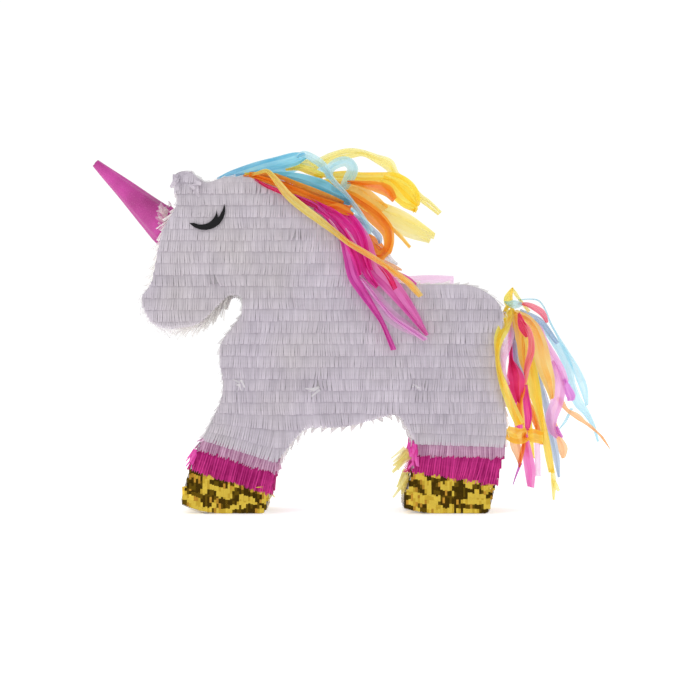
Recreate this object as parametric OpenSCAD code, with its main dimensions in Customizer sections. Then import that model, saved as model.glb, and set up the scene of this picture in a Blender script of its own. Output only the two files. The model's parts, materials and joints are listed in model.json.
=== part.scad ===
// Unicorn pinata: a flat-sided cardboard box in the outline of a unicorn, covered with rows of
// cut tissue, with a card horn, paper-streamer mane and tail, and foil hooves.
// Frame: X from the horn (-X) to the tail (+X), Y across the body, Z up, soles on Z = 0.

/* [Body] */
// Outer depth of the cardboard body, across both side panels
body_depth = 90; // [84:1:100]
// Thickness of the corrugated board
board_t = 2.5; // [2:0.25:3]
// Thickness of the layer of cut tissue
fringe_t = 3; // [2.5:0.25:3.5]
// Height that one row of cut tissue shows
row_pitch = 12.5; // [12:0.25:13]

/* [Filling flap] */
// Length of the flap along the back
flap_len = 54; // [44:1:56]
// Width of the flap across the back
flap_w = 54; // [40:1:60]
// Gap cut around the flap
flap_gap = 0.5; // [0.3:0.1:1]

/* [Hanging holes] */
// Diameter of each hole for the hanging cord
hang_hole_d = 6; // [5:0.5:6]
// Distance between the two holes, across the neck
hang_spacing = 28; // [28:1:30]

/* [Horn] */
// Length of the horn along its axis
horn_len = 107; // [90:1:110]
// Outer diameter of the horn at its base
horn_base_d = 42.5; // [36:0.5:44]
// Outer diameter of the horn at its cut tip
horn_tip_d = 9; // [6:1:12]
// Thickness of the horn's rolled card
horn_wall = 1.2; // [0.8:0.1:1.6]

/* [Leg bands] */
// Height of the foil hoof at the front leg's centre line
hoof_front_h = 34; // [28:1:36]
// Height of the foil hoof at the rear leg's centre line
hoof_rear_h = 36; // [30:1:38]
// Height of each magenta band
magenta_h = 25; // [20:1:27]
// Height of each pale pink band
pale_h = 13; // [10:1:14]

/* [Tail] */
// Depth of one tail streamer bundle
bundle_t = 2.4; // [1.5:0.1:2.4]
// Angle between neighbouring bundles, seen from behind
bundle_fan = 6; // [4:1:7]

/* [Hidden] */

// ---- Outline of the body, seen from its left side: [x, z, corner radius], anticlockwise ----
outline_corners = [
    [-187, 11, 4],     // 0 tip of the front toe
    [-163, 0, 100],    // 1 front toe
    [-95, 0, 5],       // 2 front heel
    [-80, 62, 60],     // 3 front fetlock
    [-50, 97, 14],     // 4 elbow
    [-5, 97, 120],     // 5 belly
    [52, 113, 12],     // 6 stifle
    [74, 74, 40],      // 7 rear fetlock
    [57, 6, 3],        // 8 tip of the rear toe
    [84, 0, 100],      // 9 rear toe
    [151, 0, 5],       // 10 rear heel
    [170, 78, 60],     // 11 hock
    [171, 104, 60],    // 12 thigh
    [165, 150, 120],   // 13 buttock
    [168, 232, 34],    // 14 rump
    [134, 252, 50],    // 15 croup
    [50, 252, 34],     // 16 withers
    [-30, 340, 90],    // 17 crest
    [-78, 371, 60],    // 18 poll
    [-140, 370, 30],   // 19 crown
    [-160, 363, 10],   // 20 back of the ear
    [-178, 377, 11],   // 21 ear tip, back
    [-197, 376, 10],   // 22 ear tip, front
    [-190, 342, 12],   // 23 foot of the ear
    [-208, 310, 40],   // 24 forehead
    [-219, 253, 30],   // 25 bridge of the nose
    [-231, 238, 10],   // 26 nose
    [-220, 204.5, 26], // 27 muzzle
    [-168, 208.5, 40], // 28 jaw
    [-136, 242, 6],    // 29 throat, front
    [-120, 243, 6],    // 30 throat, back
    [-118, 221, 20],   // 31 foot of the neck
    [-146, 184, 30],   // 32 breast
    [-138, 132, 60],   // 33 chest
    [-172, 66, 80]     // 34 knee
];
front_toe = 1;
front_heel = 2;
rear_toe = 9;
rear_heel = 10;
rump = 14;
croup = 15;
withers = 16;
crest = 17;
poll = 18;
crown = 19;
ear_foot = 23;
forehead = 24;
bridge = 25;
muzzle = 27;
throat = 29;
corner_count = len(outline_corners);
arc_steps = 8;

half = body_depth / 2;
inner_half = half - board_t;
skin_half = half + fringe_t;
far = 1000;

function unit(v) = v / norm(v);
function spot(i) = [outline_corners[i].x, outline_corners[i].y];
function wrapped(a) = a > 180 ? a - 360 : a < -180 ? a + 360 : a;
function reversed(list) = [for (i = [len(list) - 1 : -1 : 0]) list[i]];

// The rounded corner at q, between p and s, as [point, outward normal] stations.
function corner_stations(p, q, s, r) =
    let (u = unit(p - q),
         v = unit(s - q),
         half_turn = acos(u * v) / 2,
         centre = q + unit(u + v) * (r / sin(half_turn)),
         first = q + u * (r / tan(half_turn)) - centre,
         last = q + v * (r / tan(half_turn)) - centre,
         start = atan2(first.y, first.x),
         sweep = wrapped(atan2(last.y, last.x) - start))
    [for (k = [0 : arc_steps])
        let (a = start + sweep * k / arc_steps,
             d = [cos(a), sin(a)])
        [centre + r * d, sign(sweep) * d]];

stations = [
    for (i = [0 : corner_count - 1])
        let (p = spot((i + corner_count - 1) % corner_count),
             s = spot((i + 1) % corner_count))
        each corner_stations(p, spot(i), s, outline_corners[i][2])
];
station_count = len(stations);

// Station numbers at the start and at the end of a corner's arc.
function arc_start(corner) = corner * (arc_steps + 1);
function arc_end(corner) = arc_start(corner) + arc_steps;
// The outline moved outwards by t, from station i to station j, or all the way round.
function ring(t, i = 0, j = station_count - 1) =
    [for (k = [i : j]) let (s = stations[k % station_count]) s[0] + t * s[1]];

// A polygon drawn in X and Z, extruded along Y from y0 to y1.
module slab(points, y0, y1) {
    translate([0, y1, 0])
        rotate([90, 0, 0])
            linear_extrude(y1 - y0) polygon(points);
}

// A strip that follows the outline from station i to station j, between the offsets t0 and t1.
module strip(i, j, t0, t1, y0, y1) {
    slab(concat(ring(t1, i, j), reversed(ring(t0, i, j))), y0, y1);
}

module both_sides() {
    children();
    mirror([0, 1, 0]) children();
}

// ---- Lines across the legs ----
front_leg = [-135, -17];   // centre line x, tilt of the bands
rear_leg = [113, -7];
leg_reach = 75;

// The part of space between two heights on a leg, along its tilted bands.
module leg_zone(leg, low, high) {
    rise = leg_reach * tan(leg[1]);
    x0 = leg[0] - leg_reach;
    x1 = leg[0] + leg_reach;
    slab([[x0, low - rise], [x1, low + rise], [x1, high + rise], [x0, high - rise]], -far, far);
}

white_low_front = hoof_front_h + magenta_h + pale_h;
white_low_rear = hoof_rear_h + magenta_h + pale_h;

// Everything on both legs that isn't white.
module banded_legs() {
    leg_zone(front_leg, -far, white_low_front);
    leg_zone(rear_leg, -far, white_low_rear);
}

// ---- Filling flap, hanging holes and tail loop: where they are ----
top_z = spot(withers).y;
flap_x1 = stations[arc_end(croup)][0].x - 6;
flap_x0 = flap_x1 - flap_len;
hinge_bare = 5;
hinge_gap = 0.3;
rest_gap = 0.3;
back_end = arc_end(withers);

crest_dir = unit(spot(crest) - spot(withers));
crest_normal = [crest_dir.y, -crest_dir.x];
crest_tilt = atan2(crest_normal.x, crest_normal.y);
hang_along = 88;
hang_point = spot(withers) + crest_dir * hang_along;
hanger_len = 32;
hanger_t = 2;

tail_pivot = [178, 222];
loop_r = 1;
loop_leg_r = 0.9;
loop_half = 6;
loop_bore_r = 1.05;
loop_hole_r = 1.2;
loop_inner_x = 156;

module on_crest() {
    translate([hang_point.x, 0, hang_point.y])
        rotate([0, crest_tilt, 0])
            children();
}

module hang_bores() {
    on_crest()
        both_sides()
            translate([0, hang_spacing / 2, -20])
                cylinder(d = hang_hole_d, h = 60, $fn = 48);
}

module tail_loop_holes(r) {
    both_sides()
        translate([loop_inner_x - 4, loop_half, tail_pivot.y])
            rotate([0, 90, 0])
                cylinder(r = r, h = 20, $fn = 32);
}

module flap_opening() {
    translate([flap_x0, -flap_w / 2, top_z - 20])
        cube([flap_len, flap_w, 40]);
}

// ---- Cardboard box ----
module side_panel_left() {
    color("antiquewhite") slab(ring(0), -half, -inner_half);
}

module side_panel_right() {
    color("antiquewhite") slab(ring(0), inner_half, half);
}

module wall(i, j) {
    color("antiquewhite") strip(i, j, -board_t, 0, -inner_half, inner_half);
}

module sole_front() {
    wall(arc_end(front_toe), arc_start(front_heel));
}

module sole_rear() {
    wall(arc_end(rear_toe), arc_start(rear_heel));
}

module wall_belly() {
    wall(arc_start(front_heel), arc_end(rear_toe));
}

module wall_rump() {
    difference() {
        wall(arc_start(rear_heel), arc_end(croup));
        tail_loop_holes(loop_hole_r);
    }
}

module wall_back() {
    difference() {
        wall(arc_end(croup), back_end);
        flap_opening();
    }
}

module wall_crest() {
    difference() {
        wall(back_end, arc_end(crown));
        hang_bores();
    }
}

module wall_ear() {
    wall(arc_end(crown), arc_end(ear_foot));
}

module wall_forehead() {
    wall(arc_end(ear_foot), arc_end(bridge));
}

module wall_muzzle() {
    wall(arc_end(bridge), arc_end(muzzle));
}

module wall_jaw() {
    wall(arc_end(muzzle), arc_end(throat));
}

module wall_chest() {
    wall(arc_end(throat), station_count + arc_end(front_toe));
}

// Folded tabs that glue the walls to one side panel, along each straight run of the outline.
tab_len = 14;
tab_step = 18;
tab_w = 7;
tab_t = 0.8;
tab_margin = 9;

module glue_tabs() {
    for (c = [0 : corner_count - 1]) {
        a = stations[arc_end(c)];
        b = stations[arc_start((c + 1) % corner_count)];
        run = norm(b[0] - a[0]);
        count = floor((run - 2 * tab_margin + tab_step - tab_len) / tab_step);
        along = unit(b[0] - a[0]);
        first = (run - count * tab_step + tab_step - tab_len) / 2;
        if (count > 0)
            for (k = [0 : count - 1]) {
                p = a[0] + along * (first + k * tab_step) - a[1] * board_t;
                q = p + along * tab_len;
                slab([p, q, q - a[1] * tab_w - along * 1.5, p - a[1] * tab_w + along * 1.5],
                     inner_half - tab_t, inner_half);
            }
    }
}

module glue_tabs_left() {
    color("tan") mirror([0, 1, 0]) glue_tabs();
}

module glue_tabs_right() {
    color("tan") glue_tabs();
}

module hanger_plate() {
    color("burlywood")
        difference() {
            on_crest()
                translate([-hanger_len / 2, -inner_half + tab_t, -board_t - hanger_t])
                    cube([hanger_len, 2 * (inner_half - tab_t), hanger_t]);
            hang_bores();
        }
}

// Card strips under the long edges of the opening, which stop the flap at closed.
ledge_reach = 4;
ledge_t = 1.6;

module flap_ledges() {
    color("burlywood")
        both_sides()
            translate([flap_x0, flap_w / 2 - ledge_reach, top_z - board_t - ledge_t])
                cube([flap_len, 3 * ledge_reach, ledge_t]);
}

module fill_flap() {
    color("antiquewhite")
        translate([flap_x0 + flap_gap, -flap_w / 2 + flap_gap, top_z - board_t + rest_gap])
            cube([flap_len - flap_gap - hinge_gap, flap_w - 2 * flap_gap, board_t - rest_gap]);
}

// ---- Horn ----
horn_axis = 138;              // angle of the horn's axis above +X
brow_dir = unit(spot(forehead) - spot(ear_foot));
brow_normal = [brow_dir.y, -brow_dir.x];
brow_angle = atan2(brow_normal.y, brow_normal.x);
horn_drop = 29;               // from the foot of the ear to the horn's centre
ring_t = 1;
horn_foot = spot(ear_foot) + brow_dir * horn_drop + brow_normal * (fringe_t + ring_t);
horn_skirt = 8;               // the cone runs this far past its base before it is cut to the brow
horn_end = horn_foot + horn_len * [cos(horn_axis), sin(horn_axis)];
horn_min_x = horn_end.x - horn_tip_d / 2 * sin(horn_axis);

// Turns Z to the angle a above +X, at a point of the outline's plane.
module aimed(p, a) {
    translate([p.x, 0, p.y])
        rotate([0, 90 - a, 0])
            children();
}

module horn_body(inset) {
    slope = (horn_base_d - horn_tip_d) / 2 / horn_len;
    translate([0, 0, -horn_skirt])
        cylinder(r1 = horn_base_d / 2 + horn_skirt * slope - inset, r2 = horn_tip_d / 2 - inset,
                 h = horn_len + horn_skirt, $fn = 64);
}

module horn_cone() {
    color("mediumvioletred")
        difference() {
            aimed(horn_foot, horn_axis) horn_body(0);
            aimed(horn_foot, horn_axis) horn_body(horn_wall);
            aimed(horn_foot, brow_angle) translate([-50, -50, -60]) cube([100, 100, 60]);
        }
}

module horn_base_ring() {
    color("mediumvioletred")
        aimed(horn_foot, brow_angle)
            translate([0, 0, -ring_t])
                difference() {
                    cylinder(r = horn_base_d / 2 + 1, h = ring_t, $fn = 64);
                    translate([0, 0, -1]) cylinder(r = horn_base_d / 2 - 5, h = ring_t + 2, $fn = 64);
                }
}

// ---- Closed eye: a cut sticker with two lashes, laid on the tissue ----
lash_centre = [-160.5, 334.2];
lash_t = 0.5;

function arc_points(c, r, from, to, n) =
    [for (k = [0 : n]) c + r * [cos(from + (to - from) * k / n), sin(from + (to - from) * k / n)]];

lash_outline = concat(
    arc_points(lash_centre, 22.4, 221, 376, 28),
    [for (p = [[19.5, -0.4], [16.6, -6.1], [14.5, -9]]) lash_centre + p],
    arc_points(lash_centre + [-4, 0.5], 16.9, 358, 243, 22)
);

module eyelash(y0) {
    color("black") slab(lash_outline, y0, y0 + lash_t);
}

module eyelash_left() {
    eyelash(-skin_half - lash_t);
}

module eyelash_right() {
    eyelash(skin_half);
}

// ---- Tissue rows on the two faces ----
function row_near(z) = round(z / row_pitch);
rows_leg = row_near(50);
rows_trunk = row_near(100);
rows_head = row_near(200);
rows_neck = row_near(250);
rows_top = row_near(363);
row_gap = 0.4;
throat_x = -119;

// Rows number k0 to k1 - 1 between x0 and x1, each its own strip. The last one runs up to z_top.
module face_rows(k0, k1, x0, x1, z_top) {
    for (k = [k0 : k1 - 1]) {
        low = k * row_pitch + row_gap / 2;
        high = k == k1 - 1 ? z_top : (k + 1) * row_pitch - row_gap / 2;
        intersection() {
            slab(ring(0), -skin_half, -half);
            translate([x0, -far, low]) cube([x1 - x0, 2 * far, high - low]);
        }
    }
}

module face_head() {
    face_rows(rows_head, rows_top + 1, -far, throat_x - row_gap / 2, 400);
}

module face_neck() {
    face_rows(rows_neck, rows_top + 1, throat_x + row_gap / 2, far, 400);
}

module face_trunk() {
    face_rows(rows_trunk, rows_head, -far, far, rows_head * row_pitch - row_gap / 2);
    face_rows(rows_head, rows_neck, throat_x + row_gap / 2, far, rows_neck * row_pitch - row_gap / 2);
}

module face_legs() {
    difference() {
        face_rows(rows_leg, rows_trunk, -far, far, rows_trunk * row_pitch - row_gap / 2);
        banded_legs();
    }
}

module fringe_left_head() {
    color("lavender") face_head();
}

module fringe_left_neck() {
    color("lavender") face_neck();
}

module fringe_left_trunk() {
    color("lavender") face_trunk();
}

module fringe_left_legs() {
    color("lavender") face_legs();
}

module fringe_right_head() {
    color("lavender") mirror([0, 1, 0]) face_head();
}

module fringe_right_neck() {
    color("lavender") mirror([0, 1, 0]) face_neck();
}

module fringe_right_trunk() {
    color("lavender") mirror([0, 1, 0]) face_trunk();
}

module fringe_right_legs() {
    color("lavender") mirror([0, 1, 0]) face_legs();
}

// ---- Tissue on the walls ----
module edge_fringe(i, j) {
    color("lavender") strip(i, j, 0, fringe_t, -half, half);
}

module fringe_edge_belly() {
    difference() {
        edge_fringe(arc_start(front_heel), arc_end(rear_toe));
        banded_legs();
    }
}

module fringe_edge_rump() {
    difference() {
        edge_fringe(arc_start(rear_heel), arc_end(croup));
        banded_legs();
        tail_loop_holes(loop_hole_r);
    }
}

module fringe_edge_back() {
    difference() {
        edge_fringe(arc_end(croup), back_end);
        flap_opening();
        translate([flap_x1 - 1, -far, top_z]) cube([hinge_bare + 1, 2 * far, 20]);
    }
}

module fringe_edge_crest() {
    difference() {
        edge_fringe(back_end, arc_end(crown));
        hang_bores();
    }
}

module fringe_edge_ear() {
    edge_fringe(arc_end(crown), arc_end(ear_foot));
}

module fringe_edge_forehead() {
    edge_fringe(arc_end(ear_foot), arc_end(bridge));
}

module fringe_edge_muzzle() {
    edge_fringe(arc_end(bridge), arc_end(muzzle));
}

module fringe_edge_jaw() {
    edge_fringe(arc_end(muzzle), arc_end(throat));
}

module fringe_edge_chest() {
    difference() {
        edge_fringe(arc_end(throat), station_count + arc_end(front_toe));
        banded_legs();
    }
}

module fringe_flap() {
    color("lavender")
        translate([flap_x0 + flap_gap, -flap_w / 2 + flap_gap, top_z])
            cube([flap_len - flap_gap - hinge_bare, flap_w - 2 * flap_gap, fringe_t]);
}

// ---- Bands that go all the way round a leg ----
band_gap = 0.3;

module leg_band(leg, low, high) {
    difference() {
        intersection() {
            slab(ring(fringe_t), -skin_half, skin_half);
            leg_zone(leg, low + band_gap / 2, high - band_gap / 2);
            translate([-far, -far, 0]) cube(2 * far);
        }
        slab(ring(0), -half, half);
    }
}

module hoof_foil_front() {
    color("gold") leg_band(front_leg, -30, hoof_front_h);
}

module band_magenta_front() {
    color("mediumvioletred") leg_band(front_leg, hoof_front_h, hoof_front_h + magenta_h);
}

module band_pale_front() {
    color("thistle") leg_band(front_leg, hoof_front_h + magenta_h, white_low_front);
}

module hoof_foil_rear() {
    color("gold") leg_band(rear_leg, -30, hoof_rear_h);
}

module band_magenta_rear() {
    color("mediumvioletred") leg_band(rear_leg, hoof_rear_h, hoof_rear_h + magenta_h);
}

module band_pale_rear() {
    color("thistle") leg_band(rear_leg, hoof_rear_h + magenta_h, white_low_rear);
}

// ---- Mane: streamers glued under a binding strip along the crest ----
// The two hanging holes stay clear, so the bundles stand between them and outside them.
binding_t = 1.5;
binding_half = 7;
centre_half = 9;
side_in = hang_spacing / 2 + hang_hole_d / 2 + 2;
side_out = half - 1;
mane_foot = fringe_t + binding_t + 0.5;
orange_top = mane_foot + 11;
lock_t = 8;

module mane_binding() {
    color("white") strip(back_end, arc_end(poll), fringe_t, fringe_t + binding_t,
                         -binding_half, binding_half);
}

module mane_blue() {
    color("deepskyblue")
        slab(concat(ring(mane_foot, back_end + 1, arc_end(crown) - 3),
                    [[-133, 382], [-100, 390], [-54, 404], [-29, 385], [0, 352], [24, 314]]),
             -centre_half, centre_half);
}

module mane_orange() {
    color("darkorange")
        both_sides()
            strip(back_end + 1, arc_end(poll), mane_foot, orange_top, side_in, side_out);
}

module mane_yellow() {
    color("gold")
        both_sides()
            slab(concat(ring(orange_top + 0.5, arc_start(crest), arc_end(poll)),
                        [[-60, 396], [-34, 402], [-1, 407.5], [38, 394], [78, 360], [106, 337],
                         [96, 314], [55, 331], [14, 338]]),
                 side_in, side_out);
}

module mane_magenta() {
    color("deeppink")
        both_sides()
            slab([[-36, 326], [-7, 288], [4, 250], [26, 220], [48, 172], [86, 188], [60, 220],
                  [42, 250], [38, 276], [24, 300], [2, 326]],
                 skin_half + 0.5, skin_half + 0.5 + lock_t);
}

module mane_pink() {
    color("plum")
        slab([[54, 240], [122, 244], [124, 266], [57, 262]], skin_half + 0.5, skin_half + 4);
}

// ---- Tail: streamers folded over a cord loop in the rump, tied below the fold ----
// The loop's cross bar is the pin that the tail swings on.
head_r = 6;
head_half = 4.2;
tie_z = tail_pivot.y - 15;
tie_h = 6;
neck_r = 6.5;
tail_end_x = -horn_min_x;
bundle_step = 3;
bundle_gap = 0.3;

module tail_loop() {
    color("white") {
        both_sides()
            translate([loop_inner_x, loop_half, tail_pivot.y])
                rotate([0, 90, 0])
                    cylinder(r = loop_leg_r, h = tail_pivot.x - loop_inner_x, $fn = 32);
        translate([tail_pivot.x, -loop_half - loop_r, tail_pivot.y])
            rotate([-90, 0, 0])
                cylinder(r = loop_r, h = 2 * (loop_half + loop_r), $fn = 32);
    }
}

module tail_toggle() {
    color("burlywood")
        difference() {
            translate([loop_inner_x + 0.5, -12, tail_pivot.y - 5]) cube([2, 24, 10]);
            tail_loop_holes(loop_leg_r + 0.1);
        }
}

module tail_head() {
    color("gold") {
        difference() {
            union() {
                translate([tail_pivot.x, -head_half, tail_pivot.y])
                    rotate([-90, 0, 0])
                        cylinder(r = head_r, h = 2 * head_half, $fn = 48);
                translate([tail_pivot.x - 3.5, -head_half, tie_z - tie_h])
                    cube([7, 2 * head_half, tail_pivot.y - tie_z + tie_h]);
                translate([tail_pivot.x - 2.5, -head_half + 0.8, tail_pivot.y])
                    cube([6, 2 * head_half - 1.6, 20]);
            }
            translate([tail_pivot.x, -50, tail_pivot.y])
                rotate([-90, 0, 0])
                    cylinder(r = loop_bore_r, h = 100, $fn = 48);
        }
    }
}

module tail_tie() {
    color("yellow")
        translate([tail_pivot.x, 0, tie_z - tie_h])
            difference() {
                cylinder(r = neck_r + 1, h = tie_h, $fn = 48);
                translate([0, 0, -1]) cylinder(r = neck_r - 0.5, h = tie_h + 2, $fn = 48);
            }
}

// Each bundle's outline from the tie down and back, as steps from the foot of the tie:
// magenta, gold, orange, pink and pale blue in turn.
reach = tail_end_x - tail_pivot.x;
bundle_outlines = [
    [[-4, 0], [0, -78], [12, -152], [34, -158], [28, -78], [4, 0]],
    [[-4, 0], [18, -108], [44, -186], [58, -184], [44, -88], [4, 0]],
    [[-4, 0], [58, -88], [reach - 2, -132], [reach, -124], [72, -76], [4, 0]],
    [[-4, 0], [26, -88], [48, -146], [60, -138], [54, -68], [4, 0]],
    [[-4, 0], [46, -78], [84, -126], [96, -118], [84, -80], [4, 0]]
];

module tail_bundles() {
    color("orange")
        for (k = [0 : 4])
            translate([tail_pivot.x, (k - 2) * bundle_step, tie_z - tie_h - bundle_gap])
                rotate([(k - 2) * bundle_fan, 0, 0])
                    slab(bundle_outlines[k], -bundle_t / 2, bundle_t / 2);
}

side_panel_left();
side_panel_right();
sole_front();
sole_rear();
wall_belly();
wall_rump();
wall_back();
wall_crest();
wall_ear();
wall_forehead();
wall_muzzle();
wall_jaw();
wall_chest();
glue_tabs_left();
glue_tabs_right();
hanger_plate();
flap_ledges();
fill_flap();
horn_cone();
horn_base_ring();
eyelash_left();
eyelash_right();
fringe_left_head();
fringe_left_neck();
fringe_left_trunk();
fringe_left_legs();
fringe_right_head();
fringe_right_neck();
fringe_right_trunk();
fringe_right_legs();
fringe_edge_belly();
fringe_edge_rump();
fringe_edge_back();
fringe_edge_crest();
fringe_edge_ear();
fringe_edge_forehead();
fringe_edge_muzzle();
fringe_edge_jaw();
fringe_edge_chest();
fringe_flap();
band_pale_front();
band_magenta_front();
hoof_foil_front();
band_pale_rear();
band_magenta_rear();
hoof_foil_rear();
mane_binding();
mane_blue();
mane_yellow();
mane_orange();
mane_magenta();
mane_pink();
tail_loop();
tail_toggle();
tail_head();
tail_tie();
tail_bundles();
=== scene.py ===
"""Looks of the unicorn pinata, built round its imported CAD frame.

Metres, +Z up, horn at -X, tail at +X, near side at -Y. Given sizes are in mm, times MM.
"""
import json
import math

import bpy
import numpy as np
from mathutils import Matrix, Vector, noise


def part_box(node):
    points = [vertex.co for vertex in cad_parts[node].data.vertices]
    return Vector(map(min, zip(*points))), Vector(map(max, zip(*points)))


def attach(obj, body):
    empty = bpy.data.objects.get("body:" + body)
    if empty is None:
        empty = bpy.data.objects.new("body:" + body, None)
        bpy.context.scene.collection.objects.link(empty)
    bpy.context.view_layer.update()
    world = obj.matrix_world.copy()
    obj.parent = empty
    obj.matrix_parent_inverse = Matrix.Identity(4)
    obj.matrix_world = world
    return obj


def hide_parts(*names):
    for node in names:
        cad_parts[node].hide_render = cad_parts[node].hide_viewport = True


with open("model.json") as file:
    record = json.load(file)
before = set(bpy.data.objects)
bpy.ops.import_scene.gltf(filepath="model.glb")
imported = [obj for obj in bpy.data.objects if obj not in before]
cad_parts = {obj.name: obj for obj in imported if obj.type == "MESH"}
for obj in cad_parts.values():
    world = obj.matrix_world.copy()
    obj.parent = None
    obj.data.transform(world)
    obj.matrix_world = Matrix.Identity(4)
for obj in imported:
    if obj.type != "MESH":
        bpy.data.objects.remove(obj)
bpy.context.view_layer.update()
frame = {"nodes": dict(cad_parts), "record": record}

nodes = frame["nodes"]

MM = 0.001
NEAR, FAR = -1, 1
SIDES = ((NEAR, "left"), (FAR, "right"))
LEGS = ("front", "rear")
X, Y, Z = np.eye(3)
CAMERA_DISTANCE = 2.0
CAMERA_HEIGHT = 0.18
VIEW_WIDTH = 0.77       # what the camera sees at the near face, side to side
NEAR_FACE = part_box("side_panel_left")[0].y


# ---------------------------------------------------------------- small helpers
def smooth(value, start, end):
    """0 at start, 1 at end, with a soft ramp between."""
    t = min(max((value - start) / (end - start), 0.0), 1.0)
    return t * t * (3 - 2 * t)


def ripple(a, b=0.0, c=0.0):
    """Smooth noise from about -1 to 1."""
    return noise.noise(Vector((a, b, c)))


def unit(v):
    return v / np.linalg.norm(v)


def new_object(name, points, faces, material, soft=True):
    """A mesh object in the scene, with one material."""
    mesh = bpy.data.meshes.new(name)
    mesh.from_pydata([tuple(p) for p in points], [], faces)
    mesh.materials.append(material)
    mesh.polygons.foreach_set("use_smooth", [soft] * len(mesh.polygons))
    mesh.update()
    piece = bpy.data.objects.new(name, mesh)
    bpy.context.scene.collection.objects.link(piece)
    return piece


def paint_tones(piece, tones):
    """Stores one number for each face, which the material reads as the colour attribute 'tone'."""
    layer = piece.data.color_attributes.new("tone", "FLOAT_COLOR", "CORNER")
    sides = [len(p.vertices) for p in piece.data.polygons]
    values = np.repeat(np.array(tones, np.float32), sides)
    layer.data.foreach_set("color", np.stack([values] * 3 + [np.ones_like(values)], 1).ravel())


def paint_uvs(piece, uvs):
    """Stores the (u, v) of each vertex as the piece's UV map."""
    layer = piece.data.uv_layers.new(name="UVMap")
    for loop in piece.data.loops:
        layer.data[loop.index].uv = uvs[loop.vertex_index]


def strip_faces(rows, columns):
    """The quads of a sheet of points that were listed row by row."""
    return [(k * columns + c, k * columns + c + 1, (k + 1) * columns + c + 1, (k + 1) * columns + c)
            for k in range(rows - 1) for c in range(columns - 1)]


# ---------------------------------------------------------------- materials
class Nodes:
    """Adds shader nodes to a material by short calls."""

    def __init__(self, name):
        self.material = bpy.data.materials.new(name)
        self.material.use_nodes = True
        self.tree = self.material.node_tree
        self.tree.nodes.clear()

    def feed(self, socket, value):
        """Links the socket to another node's output, or sets it to a number or colour."""
        if isinstance(value, bpy.types.NodeSocket):
            self.tree.links.new(value, socket)
        else:
            socket.default_value = value

    def add(self, kind, settings=None, **inputs):
        """A node. An input goes by its name with _ for each space, or by its number, as in _0."""
        node = self.tree.nodes.new(kind)
        for key, value in (settings or {}).items():
            setattr(node, key, value)
        for key, value in inputs.items():
            place = int(key[1:]) if key[1:].isdigit() else key.replace("_", " ")
            self.feed(node.inputs[place], value)
        return node

    def mix(self, factor, a, b):
        node = self.add("ShaderNodeMix", {"data_type": "RGBA", "blend_type": "MIX"})
        for socket, value in ((0, factor), (6, a), (7, b)):
            self.feed(node.inputs[socket], value)
        return node.outputs[2]

    def total(self, a, b):
        return self.add("ShaderNodeMath", {"operation": "ADD"}, _0=a, _1=b).outputs[0]

    def noise(self, scale, detail=3.0, stretch=(1, 1, 1), coords="Object"):
        where = self.add("ShaderNodeTexCoord").outputs[coords]
        spread = self.add("ShaderNodeMapping", Vector=where, Scale=stretch)
        return self.add("ShaderNodeTexNoise", Vector=spread.outputs[0], Scale=scale,
                        Detail=detail, Roughness=0.5).outputs[0]

    def bands(self, direction, scale, distortion=0.0):
        return self.add("ShaderNodeTexWave", {"wave_type": "BANDS", "bands_direction": direction},
                        Vector=self.add("ShaderNodeTexCoord").outputs["Object"], Scale=scale,
                        Distortion=distortion).outputs["Fac"]

    def ramp(self, value, low=0.0, high=1.0, to_low=0.0, to_high=1.0):
        return self.add("ShaderNodeMapRange", Value=value, From_Min=low, From_Max=high,
                        To_Min=to_low, To_Max=to_high).outputs[0]

    def bump(self, height, distance):
        return self.add("ShaderNodeBump", Height=height, Distance=distance,
                        Strength=1.0).outputs[0]

    def tone(self):
        """The number that paint_tones stored."""
        return self.add("ShaderNodeAttribute", {"attribute_name": "tone"}).outputs["Fac"]

    def paper(self, **inputs):
        return self.add("ShaderNodeBsdfPrincipled", **inputs).outputs[0]

    def blend(self, share, first, second):
        return self.add("ShaderNodeMixShader", _0=share, _1=first, _2=second).outputs[0]

    def finish(self, shader):
        self.add("ShaderNodeOutputMaterial", Surface=shader)
        return self.material


def rgba(colour, share=1):
    return (*(share * c for c in colour), 1.0)


def tissue(name, light, dark, glow=0.3, clear=0.0, roughness=0.75, stain=None,
           creases=(60, 900), crease_depth=0.15 * MM, stretch=(1, 1, 1), coords="Object"):
    """Thin coloured paper. light and dark are its palest and deepest colour, glow is the share of
    light that passes through it, clear is the share that it lets straight through, and stain is
    the colour of its faint large patches."""
    n = Nodes(name)
    tone = n.tone()
    patches, fibres = (n.noise(scale, 4.0, stretch, coords) for scale in creases)
    shade = n.total(tone, n.ramp(patches, 0.3, 0.7, -0.18, 0.18))
    colour = n.mix(shade, rgba(dark), rgba(light))
    if stain:
        reach = n.ramp(n.noise(11, 2.0), 0.45, 0.8, 0, 0.5)
        colour = n.mix(reach, colour, n.mix(shade, rgba(stain, 0.72), rgba(stain)))
    normal = n.bump(n.total(patches, fibres), crease_depth)
    paper = n.paper(Base_Color=colour, Roughness=roughness, Normal=normal, Specular_IOR_Level=0.25)
    lit = n.add("ShaderNodeBsdfTranslucent", Color=colour, Normal=normal).outputs[0]
    shader = n.blend(glow, paper, lit)
    if clear:
        tint = tuple(0.5 + 0.5 * c for c in light)
        gap = n.add("ShaderNodeBsdfTransparent", Color=rgba(tint)).outputs[0]
        shader = n.blend(clear, shader, gap)
    return n.finish(shader)


def streamer_tissue(name, light, dark, glow=0.45, clear=0.12):
    """Streamer paper: fine creases that run along the strip, by the strip's own UV map."""
    return tissue(name, light, dark, glow, clear, roughness=0.5, creases=(34, 300),
                  crease_depth=0.25 * MM, stretch=(10, 1, 1), coords="UV")


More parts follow.
